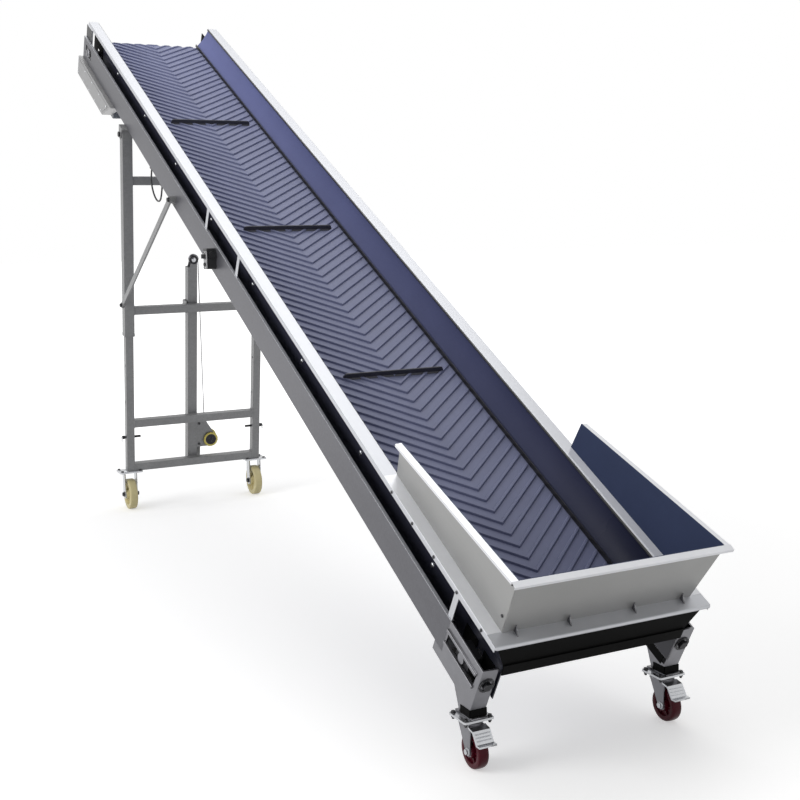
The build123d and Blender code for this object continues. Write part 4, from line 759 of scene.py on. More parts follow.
def belt_runs(belt):
    """Radius of the belt's outer face over the drums, and the lengths of one run and one turn."""
    outer = -belt.drop - DRUM_N
    return outer, HEAD_S - TAIL_S, pi * outer


def belt_place(belt, way, x, high):
    """A point at a way round the belt loop, at x across and a height over its outer face."""
    outer, run, turn = belt_runs(belt)
    lap, u = divmod(way, run + turn)
    sign, start, end = (-1, HEAD_S, TAIL_S) if lap % 2 else (1, TAIL_S, HEAD_S)
    reach = sign * (outer + high)
    if u < run:
        return deck(x, start + sign * u, DRUM_N + reach)
    bend = (u - run) / outer
    return deck(x, end + reach * sin(bend), DRUM_N + reach * cos(bend))


class ConveyorBeltLoop(bpy.types.Operator):
    """Build the belt loop with its chevron ribs and cross cleats"""

    bl_idname = "conveyor.belt_loop"
    bl_label = "Belt loop"

    drum_steps = 24
    arm_steps = 10
    # Shares of a rib's half width and height, its foot in the carcass, its tapered tips
    rib_side = ((-1.0, 0.0), (-0.72, 0.8), (-0.5, 1.0))
    rib_foot = -0.001
    taper = 0.008
    tip_share = 0.45
    # A cleat's half widths at heights, and at shares of its height; insets from its ends and shares there
    cleat_foot = ((0.009, 0.0), (0.008, 0.0020), (0.0040, 0.0050))
    cleat_top = ((0.0028, 0.94), (0.0018, 1.0))
    cleat_ends = ((0.0, 0.5), (0.006, 0.93), (0.014, 1.0))

    def execute(self, context):
        belt = context.scene.conveyor_belt
        run, turn = belt_runs(belt)[1:]
        loop = 2 * (run + turn)
        bm = bmesh.new()
        self.carcass(bm, belt, run, turn)
        count = round(loop / belt.pitch)
        for k in range(count):
            self.rib(bm, belt, loop * k / count)
        start = len(bm.faces)
        for k in range(belt.cleats):
            self.cleat(bm, belt, belt.cleat_first + k * belt.cleat_pitch - TAIL_S)
            self.cleat(bm, belt, run + turn + HEAD_S - belt.cleat_back - k * belt.cleat_pitch)
        paint(bm, start, 1)
        make_piece("belt_loop", bm, "frame", ["belt_rubber", "cleat_rubber"], ("belt",))
        return {"FINISHED"}

    def carcass(self, bm, belt, run, turn):
        """The flat band round both drums."""
        half, edge = belt.width / 2, belt.thick / 4
        section = [(half - edge, 0), (half, -edge), (half, edge - belt.thick), (half - edge, -belt.thick)]
        section += [(-x, high) for x, high in reversed(section)]
        arc = [turn * step / self.drum_steps for step in range(self.drum_steps + 1)]
        ways = [run + u for u in arc] + [2 * run + turn + u for u in arc]
        skin(bm, [[belt_place(belt, way, x, high) for x, high in section] for way in ways], loop=True)

    def rib(self, bm, belt, way):
        """One chevron, its arms running on from the middle."""
        half = belt.rib / 2 / cos(belt.slant)
        section = [(u * half, h * belt.rib_high) for u, h in self.rib_side]
        section += [(-u, h) for u, h in reversed(section)]
        section += [(half, self.rib_foot), (-half, self.rib_foot)]
        tip = belt.span / 2
        arm = [-tip] + [(self.taper - tip) * (1 - step / self.arm_steps) for step in range(self.arm_steps)]
        rings = []
        for x in arm + [0.0] + [-x for x in reversed(arm)]:
            share = self.tip_share if abs(x) == tip else 1.0
            lie = way + abs(x) * tan(belt.slant)
            rings.append([belt_place(belt, lie + u * share, x, h * share) for u, h in section])
        skin(bm, rings)

    def cleat(self, bm, belt, way):
        """One cross cleat, its ends rounded."""
        section = [*self.cleat_foot] + [(u, share * belt.cleat_high) for u, share in self.cleat_top]
        section += [(-u, h) for u, h in reversed(section)]
        ends = [(inset - belt.cleat_span / 2, share) for inset, share in self.cleat_ends]
        ends += [(-x, share) for x, share in reversed(ends)]
        skin(bm, [[belt_place(belt, way + u, x, h * share) for u, h in section] for x, share in ends])


class ConveyorTrough(bpy.types.Operator):
    """Add the sealing lips, the skirts' edging and the bolts of the trough's sides"""

    bl_idname = "conveyor.trough"
    bl_label = "Trough sides"

    # Places are x and n, the foot strip an outline of them; bolts keep clear of the head end
    foot_shadow_strip = ((0.2418, -0.1046), (0.2452, -0.1046), (0.2445, -0.0900), (0.2425, -0.0900))
    tail_s = 0.02
    top_shadow_bead = (0.3015, -0.0065)
    top_shadow_radius = 0.0042
    plate_bolt = (0.294, -0.113)
    skirt_bolt = (0.3045, -0.014)
    skirt_face = (0.86, 0.5)
    skirt_share = 0.6
    clear = 0.1
    end_step = 0.01

    def execute(self, context):
        fixings = context.scene.conveyor_fixings
        seal_and_shadow_strips, outside, inside = bmesh.new(), bmesh.new(), bmesh.new()
        ends = (self.tail_s, self.tail_s + self.end_step, RAIL_LENGTH - self.end_step, RAIL_LENGTH)
        for sign in SIGNS:
            # Black strips as painted shadow: a lip on the belt at the skirt's foot and a bead along the
            # skirt's top edge.
            skin(seal_and_shadow_strips, [[deck(sign * x, s, n) for x, n in self.foot_shadow_strip] for s in (self.tail_s, RAIL_LENGTH)])
            x, n = self.top_shadow_bead
            tube(seal_and_shadow_strips, [deck(sign * x, s, n) for s in ends], self.top_shadow_radius, 10)
            inward = ACROSS * (-sign * self.skirt_face[0]) + SQUARE * self.skirt_face[1]
            s = fixings.side_first
            while s < RAIL_LENGTH - self.clear:
                x, n = self.plate_bolt
                dome_bolt(outside, aimed(deck(sign * x, s, n), ACROSS * sign), fixings.side_bolt)
                x, n = self.skirt_bolt
                dome_bolt(inside, aimed(deck(sign * x, s, n), inward), fixings.side_bolt * self.skirt_share)
                s += fixings.side_pitch
        make_piece("trough_seals", seal_and_shadow_strips, "frame", ["black_plastic"])
        make_piece("side_plate_bolts", outside, "frame", ["caster_zinc"])
        make_piece("skirt_bolts", inside, "frame", ["black_bolt"])
        return {"FINISHED"}


class ConveyorHopper(bpy.types.Operator):
    """Form the hopper walls with pale rims and flanges and add their screws"""

    bl_idname = "conveyor.hopper"
    bl_label = "Hopper"

    # Heights of the rim in front and behind, its run up the slope and its band; the walls' foot and flare
    front = 0.207
    rear = 0.120
    reach = 0.708
    rim = 0.0105
    wall_x = 0.305
    wall_s = 0.045
    lean = radians(6.4)
    flare = tan(lean)
    flange_top = 0.004
    gusset_top = 0.03
    # Least turn of an inner face towards the middle and up the slope for its painted reflection, and the thin
    # sheet's share of a fold
    sheen_across = 0.15
    sheen_up = 0.6
    thin = 0.6
    screw_n = (0.052, 0.178)
    screw_in = 0.016
    sheet = 0.0026
    lip_screws = 5
    # Rolled front edge: x and radius
    roll = ((-0.349, 0.004), (-0.345, 0.006), (0.345, 0.006), (0.349, 0.004))
    roll_n = -0.0035

    def pick(self, middle, normal):
        """0 wall, 1 bright rim, side flange or inner band, 2 front flange, 3 gusset."""
        x, s, n = on_deck(middle)
        share = min(1.0, max(0.0, s / self.reach))
        if n > self.front + (self.rear - self.front) * share - self.rim:
            return 1
        if n < self.flange_top:
            return 2 if s < self.wall_s else 1
        if s < self.wall_s - self.flange_top and n < self.gusset_top:
            return 3
        # Inner faces get the bright finish as painted reflection.
        inward = normal.x * x < -self.sheen_across or normal.dot(ALONG) > self.sheen_up
        return 1 if inward else 0

    def execute(self, context):
        fixings = context.scene.conveyor_fixings
        finishes = ["hopper_stainless", "rim_polish", "rail_bright", "beam_galvanised"]
        for node in ("hopper_left", "hopper_right", "hopper_front"):
            formed(node, fixings.fold * self.thin, finishes, self.pick)
        screws = bmesh.new()
        for sign in SIGNS:
            out = ACROSS * (sign * cos(self.lean)) - SQUARE * sin(self.lean)
            for n in self.screw_n:
                s = self.wall_s - n * self.flare + self.screw_in
                x = self.wall_x + n * self.flare + self.sheet
                socket_screw(screws, aimed(deck(sign * x, s, n), out), fixings.screw)
            for k in range(self.lip_screws):
                s = fixings.lip_first + k * fixings.lip_pitch
                socket_screw(screws, aimed(deck(sign * HALF, s, -RAIL_LIP / 2), ACROSS * sign), fixings.screw)
        make_piece("hopper_screws", screws, "frame", ["black_bolt"])
        roll = bmesh.new()
        places = [deck(x, 0.0, self.roll_n) for x, radius in self.roll]
        tube(roll, places, [radius for x, radius in self.roll], 14)
        make_piece("flange_roll", roll, "frame", ["rail_bright"])
        return {"FINISHED"}


CABLE_ROUTE = (
    # x, forward and up from the higher gland
    (0, 0, 0),
    (0, 0.020, -0.037),
    (0.002, 0.018, -0.084),
    (0.004, -0.014, -0.128),
    (0.004, -0.066, -0.152),
    (0.003, -0.112, -0.146),
    (0.001, -0.140, -0.120),
    (0, -0.15893, -0.08451),
)


class ConveyorControl(bpy.types.Operator):
    """Lay the power cable and finish its glands and the switch box"""

    bl_idname = "conveyor.control"
    bl_label = "Control"

    cable_radius = 0.004
    cable_length = 0.320
    # The higher gland, where the cable leaves, then the lower one: x, s and n
    glands = ((-0.332, 3.330, -0.2413), (-0.332, 3.150, -0.2413))
    gland_radius = 0.0105
    gland_ends = (-0.012, -0.004)
    # Switch box: its rounding; the lid's widths and heights; turned profiles; places up and across its face
    box_edge = 0.002
    lid = ((0.042, 0.0), (0.042, 0.0022), (0.039, 0.0034))
    lid_taller = 0.026
    lid_corner = 0.005
    lid_drop = 0.004
    lid_face = 0.0034
    knob = ((0.012, 0), (0.012, 0.002), (0.0095, 0.003), (0.0090, 0.010), (0.0080, 0.011))
    knob_up = 0.010
    handle = ((-0.0022, -0.0085, 0.0105), (0.0022, 0.0085, 0.0145))
    button = ((0.008, 0), (0.008, 0.004), (0.006, 0.006))
    button_up = -0.022
    lid_screws = ((-0.016, -0.033), (-0.016, 0.025), (0.016, -0.033), (0.016, 0.025))
    lid_screw = 0.0026
    screw_seat = 0.0032

    def execute(self, context):
        exit_point = deck(*self.glands[0])
        curve = bpy.data.curves.new("power_cable_loop", "CURVE")
        curve.dimensions = "3D"
        curve.bevel_depth = self.cable_radius
        curve.bevel_resolution = 3
        curve.resolution_u = 16
        curve.use_fill_caps = True
        spline = curve.splines.new("NURBS")
        spline.points.add(len(CABLE_ROUTE) - 1)
        for point, step in zip(spline.points, CABLE_ROUTE):
            point.co = (*(exit_point + Vector(step)), 1.0)
        spline.use_endpoint_u = True
        spline.order_u = 3
        curve.materials.append(FINISHES["black_plastic"])
        cable = bpy.data.objects.new("power_cable_loop", curve)
        context.scene.collection.objects.link(cable)
        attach(cable, "frame")
        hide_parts("power_cable")
        formed("control_box", self.box_edge)
        self.switch()
        return {"FINISHED"}

    def switch(self):
        """The switch box's lid, knob, button, screws and the cable's glands."""
        centre = centre_of("control_box")
        centre.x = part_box("control_box")[0].x
        face = axes(centre, -FORWARD, UP, -ACROSS)
        lid = bmesh.new()
        layers = []
        for width, z in self.lid:
            outline = rounded(width, width + self.lid_taller, self.lid_corner)
            layers.append(([(x, y - self.lid_drop) for x, y in outline], z))
        stacked(lid, face, layers)
        make_piece("switch_lid", lid, "frame", ["guard_sheet"])
        fittings = bmesh.new()
        knob = face @ Matrix.Translation((0, self.knob_up, self.lid_face))
        turned(fittings, knob, self.knob, 24)
        block(fittings, knob, *self.handle)
        turned(fittings, face @ Matrix.Translation((0, self.button_up, self.lid_face)), self.button, 20)
        for x, y in self.lid_screws:
            socket_screw(fittings, face @ Matrix.Translation((x, y, self.screw_seat)), self.lid_screw)
        for place in self.glands:
            gland = aimed(deck(*place), -SQUARE)
            prism(fittings, gland, polygon(self.gland_radius, 6), *self.gland_ends)
        make_piece("switch_fittings", fittings, "frame", ["black_plastic"])


def gear_outline(radius, teeth, depth):
    """Outline of a toothed or finned wheel."""
    points = []
    for tooth in range(teeth):
        for share, reach in ((0.0, radius - depth), (0.28, radius - depth), (0.42, radius), (0.86, radius)):
            turn = 2 * pi * (tooth + share) / teeth
            points.append((reach * cos(turn), reach * sin(turn)))
    return points


def mirrored(profile):
    """A closed ring profile from the outer half of its section, the other half mirrored."""
    return profile + [(radius, -height) for radius, height in reversed(profile)]


def square_collar(bm, matrix, outer, inner, low, high):
    """A square ring about local z."""
    layers = ((outer, low), (outer, high), (inner, high), (inner, low))
    squares = [([(x * size / 2, y * size / 2) for x, y in CORNERS], z) for size, z in layers]
    stacked(bm, matrix, squares, loop=True)


def build_wheel(node, centre, rims, spokes, bearing, slot):
    """A wheel about x: rims and bearing are turned (half section, steps), spokes are (count, low, high)."""
    bm = bmesh.new()
    axle = aimed(centre, ACROSS)
    for section, steps in rims:
        turned(bm, axle, mirrored(section), steps, ring=True)
    count, low, high = spokes
    for spoke in range(count):
        block(bm, axle @ Matrix.Rotation(2 * pi * spoke / count, 4, "Z"), low, high)
    start = len(bm.faces)
    section, steps = bearing
    turned(bm, axle, mirrored(section), steps, ring=True)
    paint(bm, start, 1)
    make_piece(f"{node}_built", bm, node, [slot, "caster_zinc"], (node,))


def side_strips(bm, faces, strips):
    """Flat strips on both sides of the deck, between two x; each is (s, s, n, n)."""
    for sign in SIGNS:
        inner, outer = sorted(sign * x for x in faces)
        for start, end, low, high in strips:
            block(bm, deck_axes(0, 0, 0), (inner, start, low), (outer, end, high))


class ConveyorTail(bpy.types.Operator):
    """Form the take-up blocks and add the tail's rubber, the screw bosses and the caster plate bolts"""

    bl_idname = "conveyor.tail"
    bl_label = "Tail brackets"

    # Bracket: its front face and middle; caster plate: bolt places and faces
    block_edge = 0.0012
    face_s = 0.015
    box_x = 0.325
    bolt_x = 0.037
    bolt_y = 0.034
    plate_top = 0.144
    plate_low = 0.138
    bolt = 0.0065
    nut_rise = 0.005
    thread = ((0.0038, 0.004), (0.0038, 0.0105), (0.003, 0.0112))
    boss = ((0.0175, 0), (0.0235, 0), (0.0235, 0.0035), (0.0175, 0.0035))
    # Rubber flap from hopper to belt (s, n, half width); black sheets of painted shadow: an apron under the
    # panel, and covers in the slots (s, s, n, n)
    under_shadow_apron = ((-0.296, 0.0035, -0.119), (0.296, 0.008, -0.084))
    flap = ((0.0460, 0.0015, 0.292), (0.105, -0.0945, 0.2415), (0.120, -0.0975, 0.240))
    flap_thick = 0.003
    slot_shadow_x = (0.2945, 0.2965)
    slot_shadow_covers = (
        (0.030, 0.1005, -0.250, -0.122),
        (0.1005, 0.1355, -0.250, -0.178),
        (0.1355, 0.204, -0.250, -0.122),
        (0.204, 0.310, -0.250, -0.2195),
    )
    # Wrap round the foot of the bracket
    foot_top = 0.150
    toe = (0.015, -0.251)
    toe_length = 0.050
    wrap_x = 0.0265
    wrap_thick = 0.0015
    wrap_high = 0.022

    def execute(self, context):
        formed("take_up_blocks", self.block_edge, ["black_bolt"])
        self.rubber()
        self.bosses_and_bolts()
        return {"FINISHED"}

    def rubber(self):
        """Apron, flap, slot covers and foot wraps."""
        bm = bmesh.new()
        # Black apron as painted shadow over the belt under the tail.
        block(bm, deck_axes(0, 0, 0), *self.under_shadow_apron)
        thick = self.flap_thick
        rings = []
        for s, n, half in self.flap:
            rings.append([deck(x, s, n) for x in (-half, half)])
            rings[-1] += [deck(x, s + thick, n + thick) for x in (half, -half)]
        skin(bm, rings)
        # Black covers as painted shadow in the side plates' slots.
        side_strips(bm, self.slot_shadow_x, self.slot_shadow_covers)
        for sign in SIGNS:
            toe = deck(sign * self.box_x, *self.toe)
            wrap = axes(Vector((toe.x, toe.y, self.foot_top)), ACROSS, FORWARD, UP)
            block(bm, wrap, (-self.wrap_x, -self.wrap_thick, 0.0), (self.wrap_x, 0.0, self.wrap_high))
            for face in (-self.wrap_x, self.wrap_x - self.wrap_thick):
                far = (face + self.wrap_thick, self.toe_length, self.wrap_high)
                block(bm, wrap, (face, -self.wrap_thick, 0.0), far)
        make_piece("tail_rubber", bm, "frame", ["panel_rubber"])

    def bosses_and_bolts(self):
        """Bosses of the take-up screws, and bolts of the caster plates."""
        boss, bolts = bmesh.new(), bmesh.new()
        for side, sign in SIDES.items():
            front = aimed(deck(sign * self.box_x, self.face_s, DRUM_N), -ALONG)
            turned(boss, front, self.boss, 28, ring=True)
            king = hinge(f"front_swivel_{side}")
            for x, y in CORNERS:
                x, y = king.x + x * self.bolt_x, king.y + y * self.bolt_y
                hex_bolt(bolts, aimed(Vector((x, y, self.plate_top)), UP), self.bolt)
                under = aimed(Vector((x, y, self.plate_low)), -UP)
                hex_bolt(bolts, under, self.bolt, self.nut_rise)
                turned(bolts, under, self.thread, 12)
        make_piece("screw_bosses", boss, "frame", ["black_bolt"])
        make_piece("caster_plate_bolts", bolts, "frame", ["black_bolt"])


class ConveyorFrontCasters(bpy.types.Operator):
    """Form the front forks, build the red wheels and add race seals, axle bolts and pedal ribs"""

    bl_idname = "conveyor.front_casters"
    bl_label = "Front casters"

    # Outer halves of turned sections: radius and height
    tread = [
        (0.036, 0.0150), (0.0440, 0.0160), (0.0475, 0.0148), (0.0492, 0.0118), (0.0499, 0.0070),
        (0.0500, 0.0015),
    ]
    core = [
        (0.0140, 0.0196), (0.0180, 0.0196), (0.0202, 0.0080), (0.0325, 0.0080), (0.0340, 0.0148),
        (0.0365, 0.0148),
    ]
    bearing = [(0.0062, 0.0192), (0.0080, 0.0197), (0.0139, 0.0197)]
    race = [(0.0322, 0.1285), (0.0345, 0.1295), (0.0345, 0.1345), (0.0322, 0.1355)]
    spokes = (6, (0.0195, -0.0016, -0.0125), (0.0338, 0.0016, 0.0125))
    fork_edge = 0.0016
    cheek_x = 0.0235
    axle_bolt = 0.0085
    # Brake pedal: its edge behind the king pin, and its tread's start and run in y and z
    pedal_edge = -0.041
    pedal_start = (-0.0534, 0.1190)
    pedal_run = (-0.020, -0.030)
    rib_x = (-0.023, -0.022, 0.022, 0.023)
    rib_radius = 0.0016
    rib_shares = (0.25, 0.5, 0.75)

    def execute(self, context):
        for side in SIDES:
            centre = hinge(f"front_roll_{side}")
            formed(f"front_fork_{side}", self.fork_edge, ["drum_steel", "caster_zinc"], self.pedal_pick)
            rims = ((self.tread, 64), (self.core, 40))
            build_wheel(f"front_wheel_{side}", centre, rims, self.spokes, (self.bearing, 28), "red_tread")
            self.fittings(side, centre, hinge(f"front_swivel_{side}"))
        return {"FINISHED"}

    def pedal_pick(self, middle, normal):
        """Bright on the brake pedal, duller on the fork."""
        return 1 if middle.y < hinge("front_swivel_left").y + self.pedal_edge else 0

    def fittings(self, side, centre, king):
        """Axle bolts, ribs of the brake pedal and the seal of the race."""
        bolts = bmesh.new()
        for sign in SIGNS:
            hex_bolt(bolts, aimed(centre + ACROSS * sign * self.cheek_x, ACROSS * sign), self.axle_bolt)
        for share in self.rib_shares:
            y, z = (start + run * share for start, run in zip(self.pedal_start, self.pedal_run))
            tube(bolts, [Vector((king.x + x, king.y + y, z)) for x in self.rib_x], self.rib_radius, 8)
        make_piece(f"front_fork_bolts_{side}", bolts, f"front_swivel_{side}", ["caster_zinc"])
        seal_and_shadow_strips = bmesh.new()
        turned(seal_and_shadow_strips, aimed(Vector((king.x, king.y, 0)), UP), self.race, 40, ring=True)
        make_piece(f"race_seal_{side}", seal_and_shadow_strips, "frame", ["black_plastic"])


class ConveyorRearCasters(bpy.types.Operator):
    """Build the cream rear wheels and add axle and plate bolts"""

    bl_idname = "conveyor.rear_casters"
    bl_label = "Rear casters"

    # Outer halves of turned sections: radius and height
    tyre = [
        (0.0240, 0.0274), (0.0258, 0.0262), (0.0290, 0.0105), (0.0530, 0.0100), (0.0570, 0.0188),
        (0.0590, 0.0200), (0.0735, 0.0200), (0.0775, 0.0188), (0.0793, 0.0160), (0.0800, 0.0105),
        (0.0800, 0.0020),
    ]
    bearing = [(0.0085, 0.0262), (0.0165, 0.0262), (0.0185, 0.0275), (0.0240, 0.0275)]
    spokes = (8, (0.0275, -0.0022, -0.0150), (0.0560, 0.0022, 0.0150))
    cheek_x = 0.033
    axle_bolt = 0.0115
    bolt_x = 0.047
    bolt_y = 0.037
    plate_bolt = 0.007

    def execute(self, context):
        bolts = bmesh.new()
        for side in SIDES:
            centre = hinge(f"rear_roll_{side}")
            rims = ((self.tyre, 72),)
            build_wheel(f"rear_wheel_{side}", centre, rims, self.spokes, (self.bearing, 32), "cream_nylon")
            for out in SIGNS:
                hex_bolt(bolts, aimed(centre + ACROSS * out * self.cheek_x, ACROSS * out), self.axle_bolt)
                for fore in SIGNS:
                    spot = Vector((centre.x + out * self.bolt_x, centre.y + fore * self.bolt_y, REAR_TOP))
                    hex_bolt(bolts, aimed(spot, UP), self.plate_bolt)
        make_piece("rear_caster_bolts", bolts, "lower_frame", ["black_bolt"])
        return {"FINISHED"}


class ConveyorLegs(bpy.types.Operator):
    """Add welds, collars, caps, strut bolts and pin rings to the rear legs"""

    bl_idname = "conveyor.legs"
    bl_label = "Rear legs"

    pin_edge = 0.0008
    half_bar = 0.020
    around = ((-1, -1), (1, -1), (1, 1), (-1, 1))
    # Bars of each body: x of their welded ends, and their places up the leg
    bars = {"frame": (0.320, (1.066, 1.7185)), "lower_frame": (0.325, (0.468, 0.2303))}
    # Square sleeve at the foot of the outer tube, and the cap's sizes and heights
    sleeve_foot = 0.941
    sleeve = (0.0516, 0.0410)
    sleeve_ends = (-0.006, 0.010)
    tube_top = 1.9625
    cap = ((0.048, 0.0), (0.048, 0.0022), (0.044, 0.0034))
    cap_corner = 0.005
    strut_x = 0.378
    strut_top = (2.892, -0.181)
    strut_foot = 1.096
    strut_bolt = 0.0105
    ring_x = 0.3875
    ring_a = 0.385
    ring_radius = 0.0125
    ring_wire = 0.0014
    ring_steps = 28

    def execute(self, context):
        for node in ("leg_pivots", "locking_pins"):
            formed(node, self.pin_edge)
        self.welds(context.scene.conveyor_fixings.weld)
        collars, bolts, rings = bmesh.new(), bmesh.new(), bmesh.new()
        low, high = (self.sleeve_foot + step for step in self.sleeve_ends)
        for sign in SIGNS:
            square_collar(collars, leg_axes(sign * LEG_X, 0, 0), *self.sleeve, low, high)
            layers = [(rounded(size, size, self.cap_corner), z) for size, z in self.cap]
            stacked(collars, leg_axes(sign * LEG_X, 0, self.tube_top), layers)
            strut_x = sign * self.strut_x
            for place in (deck(strut_x, *self.strut_top), leg(strut_x, 0, self.strut_foot)):
                hex_bolt(bolts, aimed(place, ACROSS * sign), self.strut_bolt)
            ring = polygon(self.ring_radius, self.ring_steps)
            points = [leg(sign * self.ring_x, f, self.ring_a + a) for f, a in ring]
            tube(rings, points, self.ring_wire, 8, loop=True)
        make_piece("tube_collars", collars, "frame", ["leg_steel"])
        make_piece("strut_bolts", bolts, "frame", ["black_bolt"])
        make_piece("pin_rings", rings, "lower_frame", ["caster_zinc"])
        return {"FINISHED"}

    def welds(self, radius):
        """Beads round the ends of the cross bars."""
        corners = [(f * self.half_bar, up * self.half_bar) for f, up in self.around]
        for body, (x, places) in self.bars.items():
            beads = bmesh.new()
            for sign in SIGNS:
                for a in places:
                    weld_bead(beads, [leg(sign * x, f, a + up) for f, up in corners], radius)
            make_piece(f"bar_welds_{body}", beads, body, ["leg_steel"])


class ConveyorWinch(bpy.types.Operator):
    """Build the winch gear, wound rope, crank grip, pulley and the stranded wire"""

    bl_idname = "conveyor.winch"
    bl_label = "Winch"

    # Places are x and a; profiles are radius and way forward
    drum = (0.100, 0.334)
    crank = (0.056, 0.392)
    pulley = (0.012, 1.312)
    front = 0.025
    back = 0.075
    middle = 0.050
    # Toothed outlines: radius, teeth and depth
    gear = (0.047, 44, 0.0045)
    pinion = (0.0262, 22, 0.0042)
    gear_ends = (0.0627, 0.0707)
    ratchet_wheel = (0.040, 28, 0.003)
    ratchet_ends = (0.014, 0.019)
    spindle = ((0.0062, 0.021), (0.007, 0.022), (0.007, 0.078), (0.0062, 0.079))
    barrel = ((0.020, 0.0293), (0.020, 0.0707))
    flange = ((0.033, 0.0293), (0.034, 0.0300), (0.034, 0.0326), (0.033, 0.0333))
    coil_radius = 0.0226
    coil_start = 0.0365
    coil_pitch = 0.0056
    coil_turns = 4.0
    coil_steps = 110
    coil_wire = 0.0025
    ratchet_ring = ((0.0300, 0.0125), (0.0360, 0.0130), (0.0360, 0.0145), (0.0300, 0.0145))
    ratchet_hub = ((0.029, 0.0142), (0.029, 0.0132), (0.012, 0.0132), (0.010, 0.0100), (0.006, 0.0095))
    face_x = 0.006
    face_ring = ((0.0120, 0), (0.0235, 0), (0.0225, 0.0016), (0.0130, 0.0016))
    face_cap = ((0.0112, 0), (0.0112, 0.0010), (0.0085, 0.0022), (0.0030, 0.0026))
    nuts = ((0.037, 0.312), (0.037, 0.425), (0.108, 0.306))
    nut = 0.006
    pulley_nut = 0.010
    crank_edge = 0.0012
    grip_a = 0.202
    grip_start = 0.1092
    grip_ribs = 12
    first_rib = 0.117
    rib_pitch = 0.0066
    rib = ((0.0126, -0.0022), (0.0142, -0.0010), (0.0142, 0.0010), (0.0126, 0.0022))
    sheave = [
        (0.0063, 0.0070), (0.0115, 0.0070), (0.0130, 0.0052), (0.0190, 0.0052), (0.0205, 0.0070),
        (0.0256, 0.0070), (0.0260, 0.0060), (0.0222, 0.0028), (0.0210, 0.0012),
    ]
    wire_foot = (0.0772, 0.334)
    wire_head = (0.0358, 1.312)
    strands = 6
    strand_ring = 0.0016
    strand_radius = 0.0009
    strand_step = 0.004
    lay = 0.034

    def execute(self, context):
        self.gear_and_drum()
        self.ratchet()
        self.pulley_face()
        self.winch_nuts()
        self.crank_and_grip()
        self.pulley_wheel()
        self.rope()
        return {"FINISHED"}

    def about(self, place, f=0.0):
        """Local z forward through a place on the winch."""
        return aimed(leg(place[0], f, place[1]), LEG_FORWARD)

    def gear_and_drum(self):
        """Drum with its gear and pinion, and the rope wound on it."""
        bm = bmesh.new()
        axle = self.about(self.drum)
        for profile, steps in ((self.spindle, 20), (self.barrel, 32), (self.flange, 36)):
            turned(bm, axle, profile, steps)
        prism(bm, axle, gear_outline(*self.gear), *self.gear_ends)
        prism(bm, self.about(self.crank), gear_outline(*self.pinion), *self.gear_ends)
        start = len(bm.faces)
        coil = []
        for step in range(self.coil_steps + 1):
            wound = self.coil_turns * step / self.coil_steps
            x, y = (self.coil_radius * way(2 * pi * wound) for way in (cos, sin))
            coil.append(axle @ Vector((x, y, self.coil_start + self.coil_pitch * wound)))
        tube(bm, coil, self.coil_wire, 8)
        paint(bm, start, 1)
        make_piece("winch_drum_geared", bm, "lower_frame", ["yellow_zinc", "wire_rope"], ("winch_drum",))

    def ratchet(self):
        """Ratchet wheel in front, with a dark hub."""
        bm = bmesh.new()
        axle = self.about(self.drum)
        prism(bm, axle, gear_outline(*self.ratchet_wheel), *self.ratchet_ends)
        turned(bm, axle, self.ratchet_ring, 36, ring=True)
        start = len(bm.faces)
        turned(bm, axle, self.ratchet_hub, 32)
        paint(bm, start, 1)
        make_piece("winch_ratchet", bm, "lower_frame", ["yellow_zinc", "black_bolt"])

    def pulley_face(self):
        """Front face of the top pulley."""
        bm = bmesh.new()
        front = aimed(leg(self.face_x, self.front, self.pulley[1]), -LEG_FORWARD)
        turned(bm, front, self.face_ring, 32, ring=True)
        start = len(bm.faces)
        turned(bm, front, self.face_cap, 24)
        paint(bm, start, 1)
        make_piece("pulley_face", bm, "lower_frame", ["black_bolt", "caster_zinc"])

    def winch_nuts(self):
        """Nuts in front and behind."""
        bm = bmesh.new()
        for x, a in self.nuts:
            hex_bolt(bm, aimed(leg(x, self.front, a), -LEG_FORWARD), self.nut)
            hex_bolt(bm, self.about((x, a), self.back), self.nut)
        hex_bolt(bm, self.about(self.pulley, self.back), self.pulley_nut)
        make_piece("winch_nuts", bm, "lower_frame", ["black_bolt"])

    def grip_pick(self, middle, normal):
        """Black on the grip, steel on the arm."""
        return 1 if (middle - LEG_FOOT).dot(LEG_FORWARD) > self.grip_start else 0

    def crank_and_grip(self):
        """The crank, and the ribs of its grip."""
        formed("winch_crank", self.crank_edge, ["leg_steel", "black_plastic"], self.grip_pick)
        bm = bmesh.new()
        axle = self.about((self.crank[0], self.grip_a))
        for k in range(self.grip_ribs):
            z = self.first_rib + self.rib_pitch * k
            turned(bm, axle, [(radius, z + step) for radius, step in self.rib], 24, ring=True)
        make_piece("crank_grip_ribs", bm, "lower_frame", ["black_plastic"])

    def pulley_wheel(self):
        """The top pulley, grooved for the rope."""
        bm = bmesh.new()
        turned(bm, self.about(self.pulley, self.middle), mirrored(self.sheave), 48, ring=True)
        make_piece("mast_pulley_turned", bm, "lower_frame", [SLOTS["mast_pulley"]], ("mast_pulley",))

    def rope(self):
        """Strands laid round the line from drum to pulley."""
        bm = bmesh.new()
        foot, head = (leg(x, self.middle, a) for x, a in (self.wire_foot, self.wire_head))
        run = head - foot
        line = aimed(foot, run)
        steps = int(run.length / self.strand_step)
        for strand in range(self.strands):
            points = []
            for step in range(steps + 1):
                z = run.length * step / steps
                turn = 2 * pi * (strand / self.strands + z / self.lay)
                points.append(line @ Vector((self.strand_ring * cos(turn), self.strand_ring * sin(turn), z)))
            tube(bm, points, self.strand_radius, 5)
        make_piece("winch_wire_stranded", bm, "lower_frame", ["wire_rope"], ("winch_wire",))


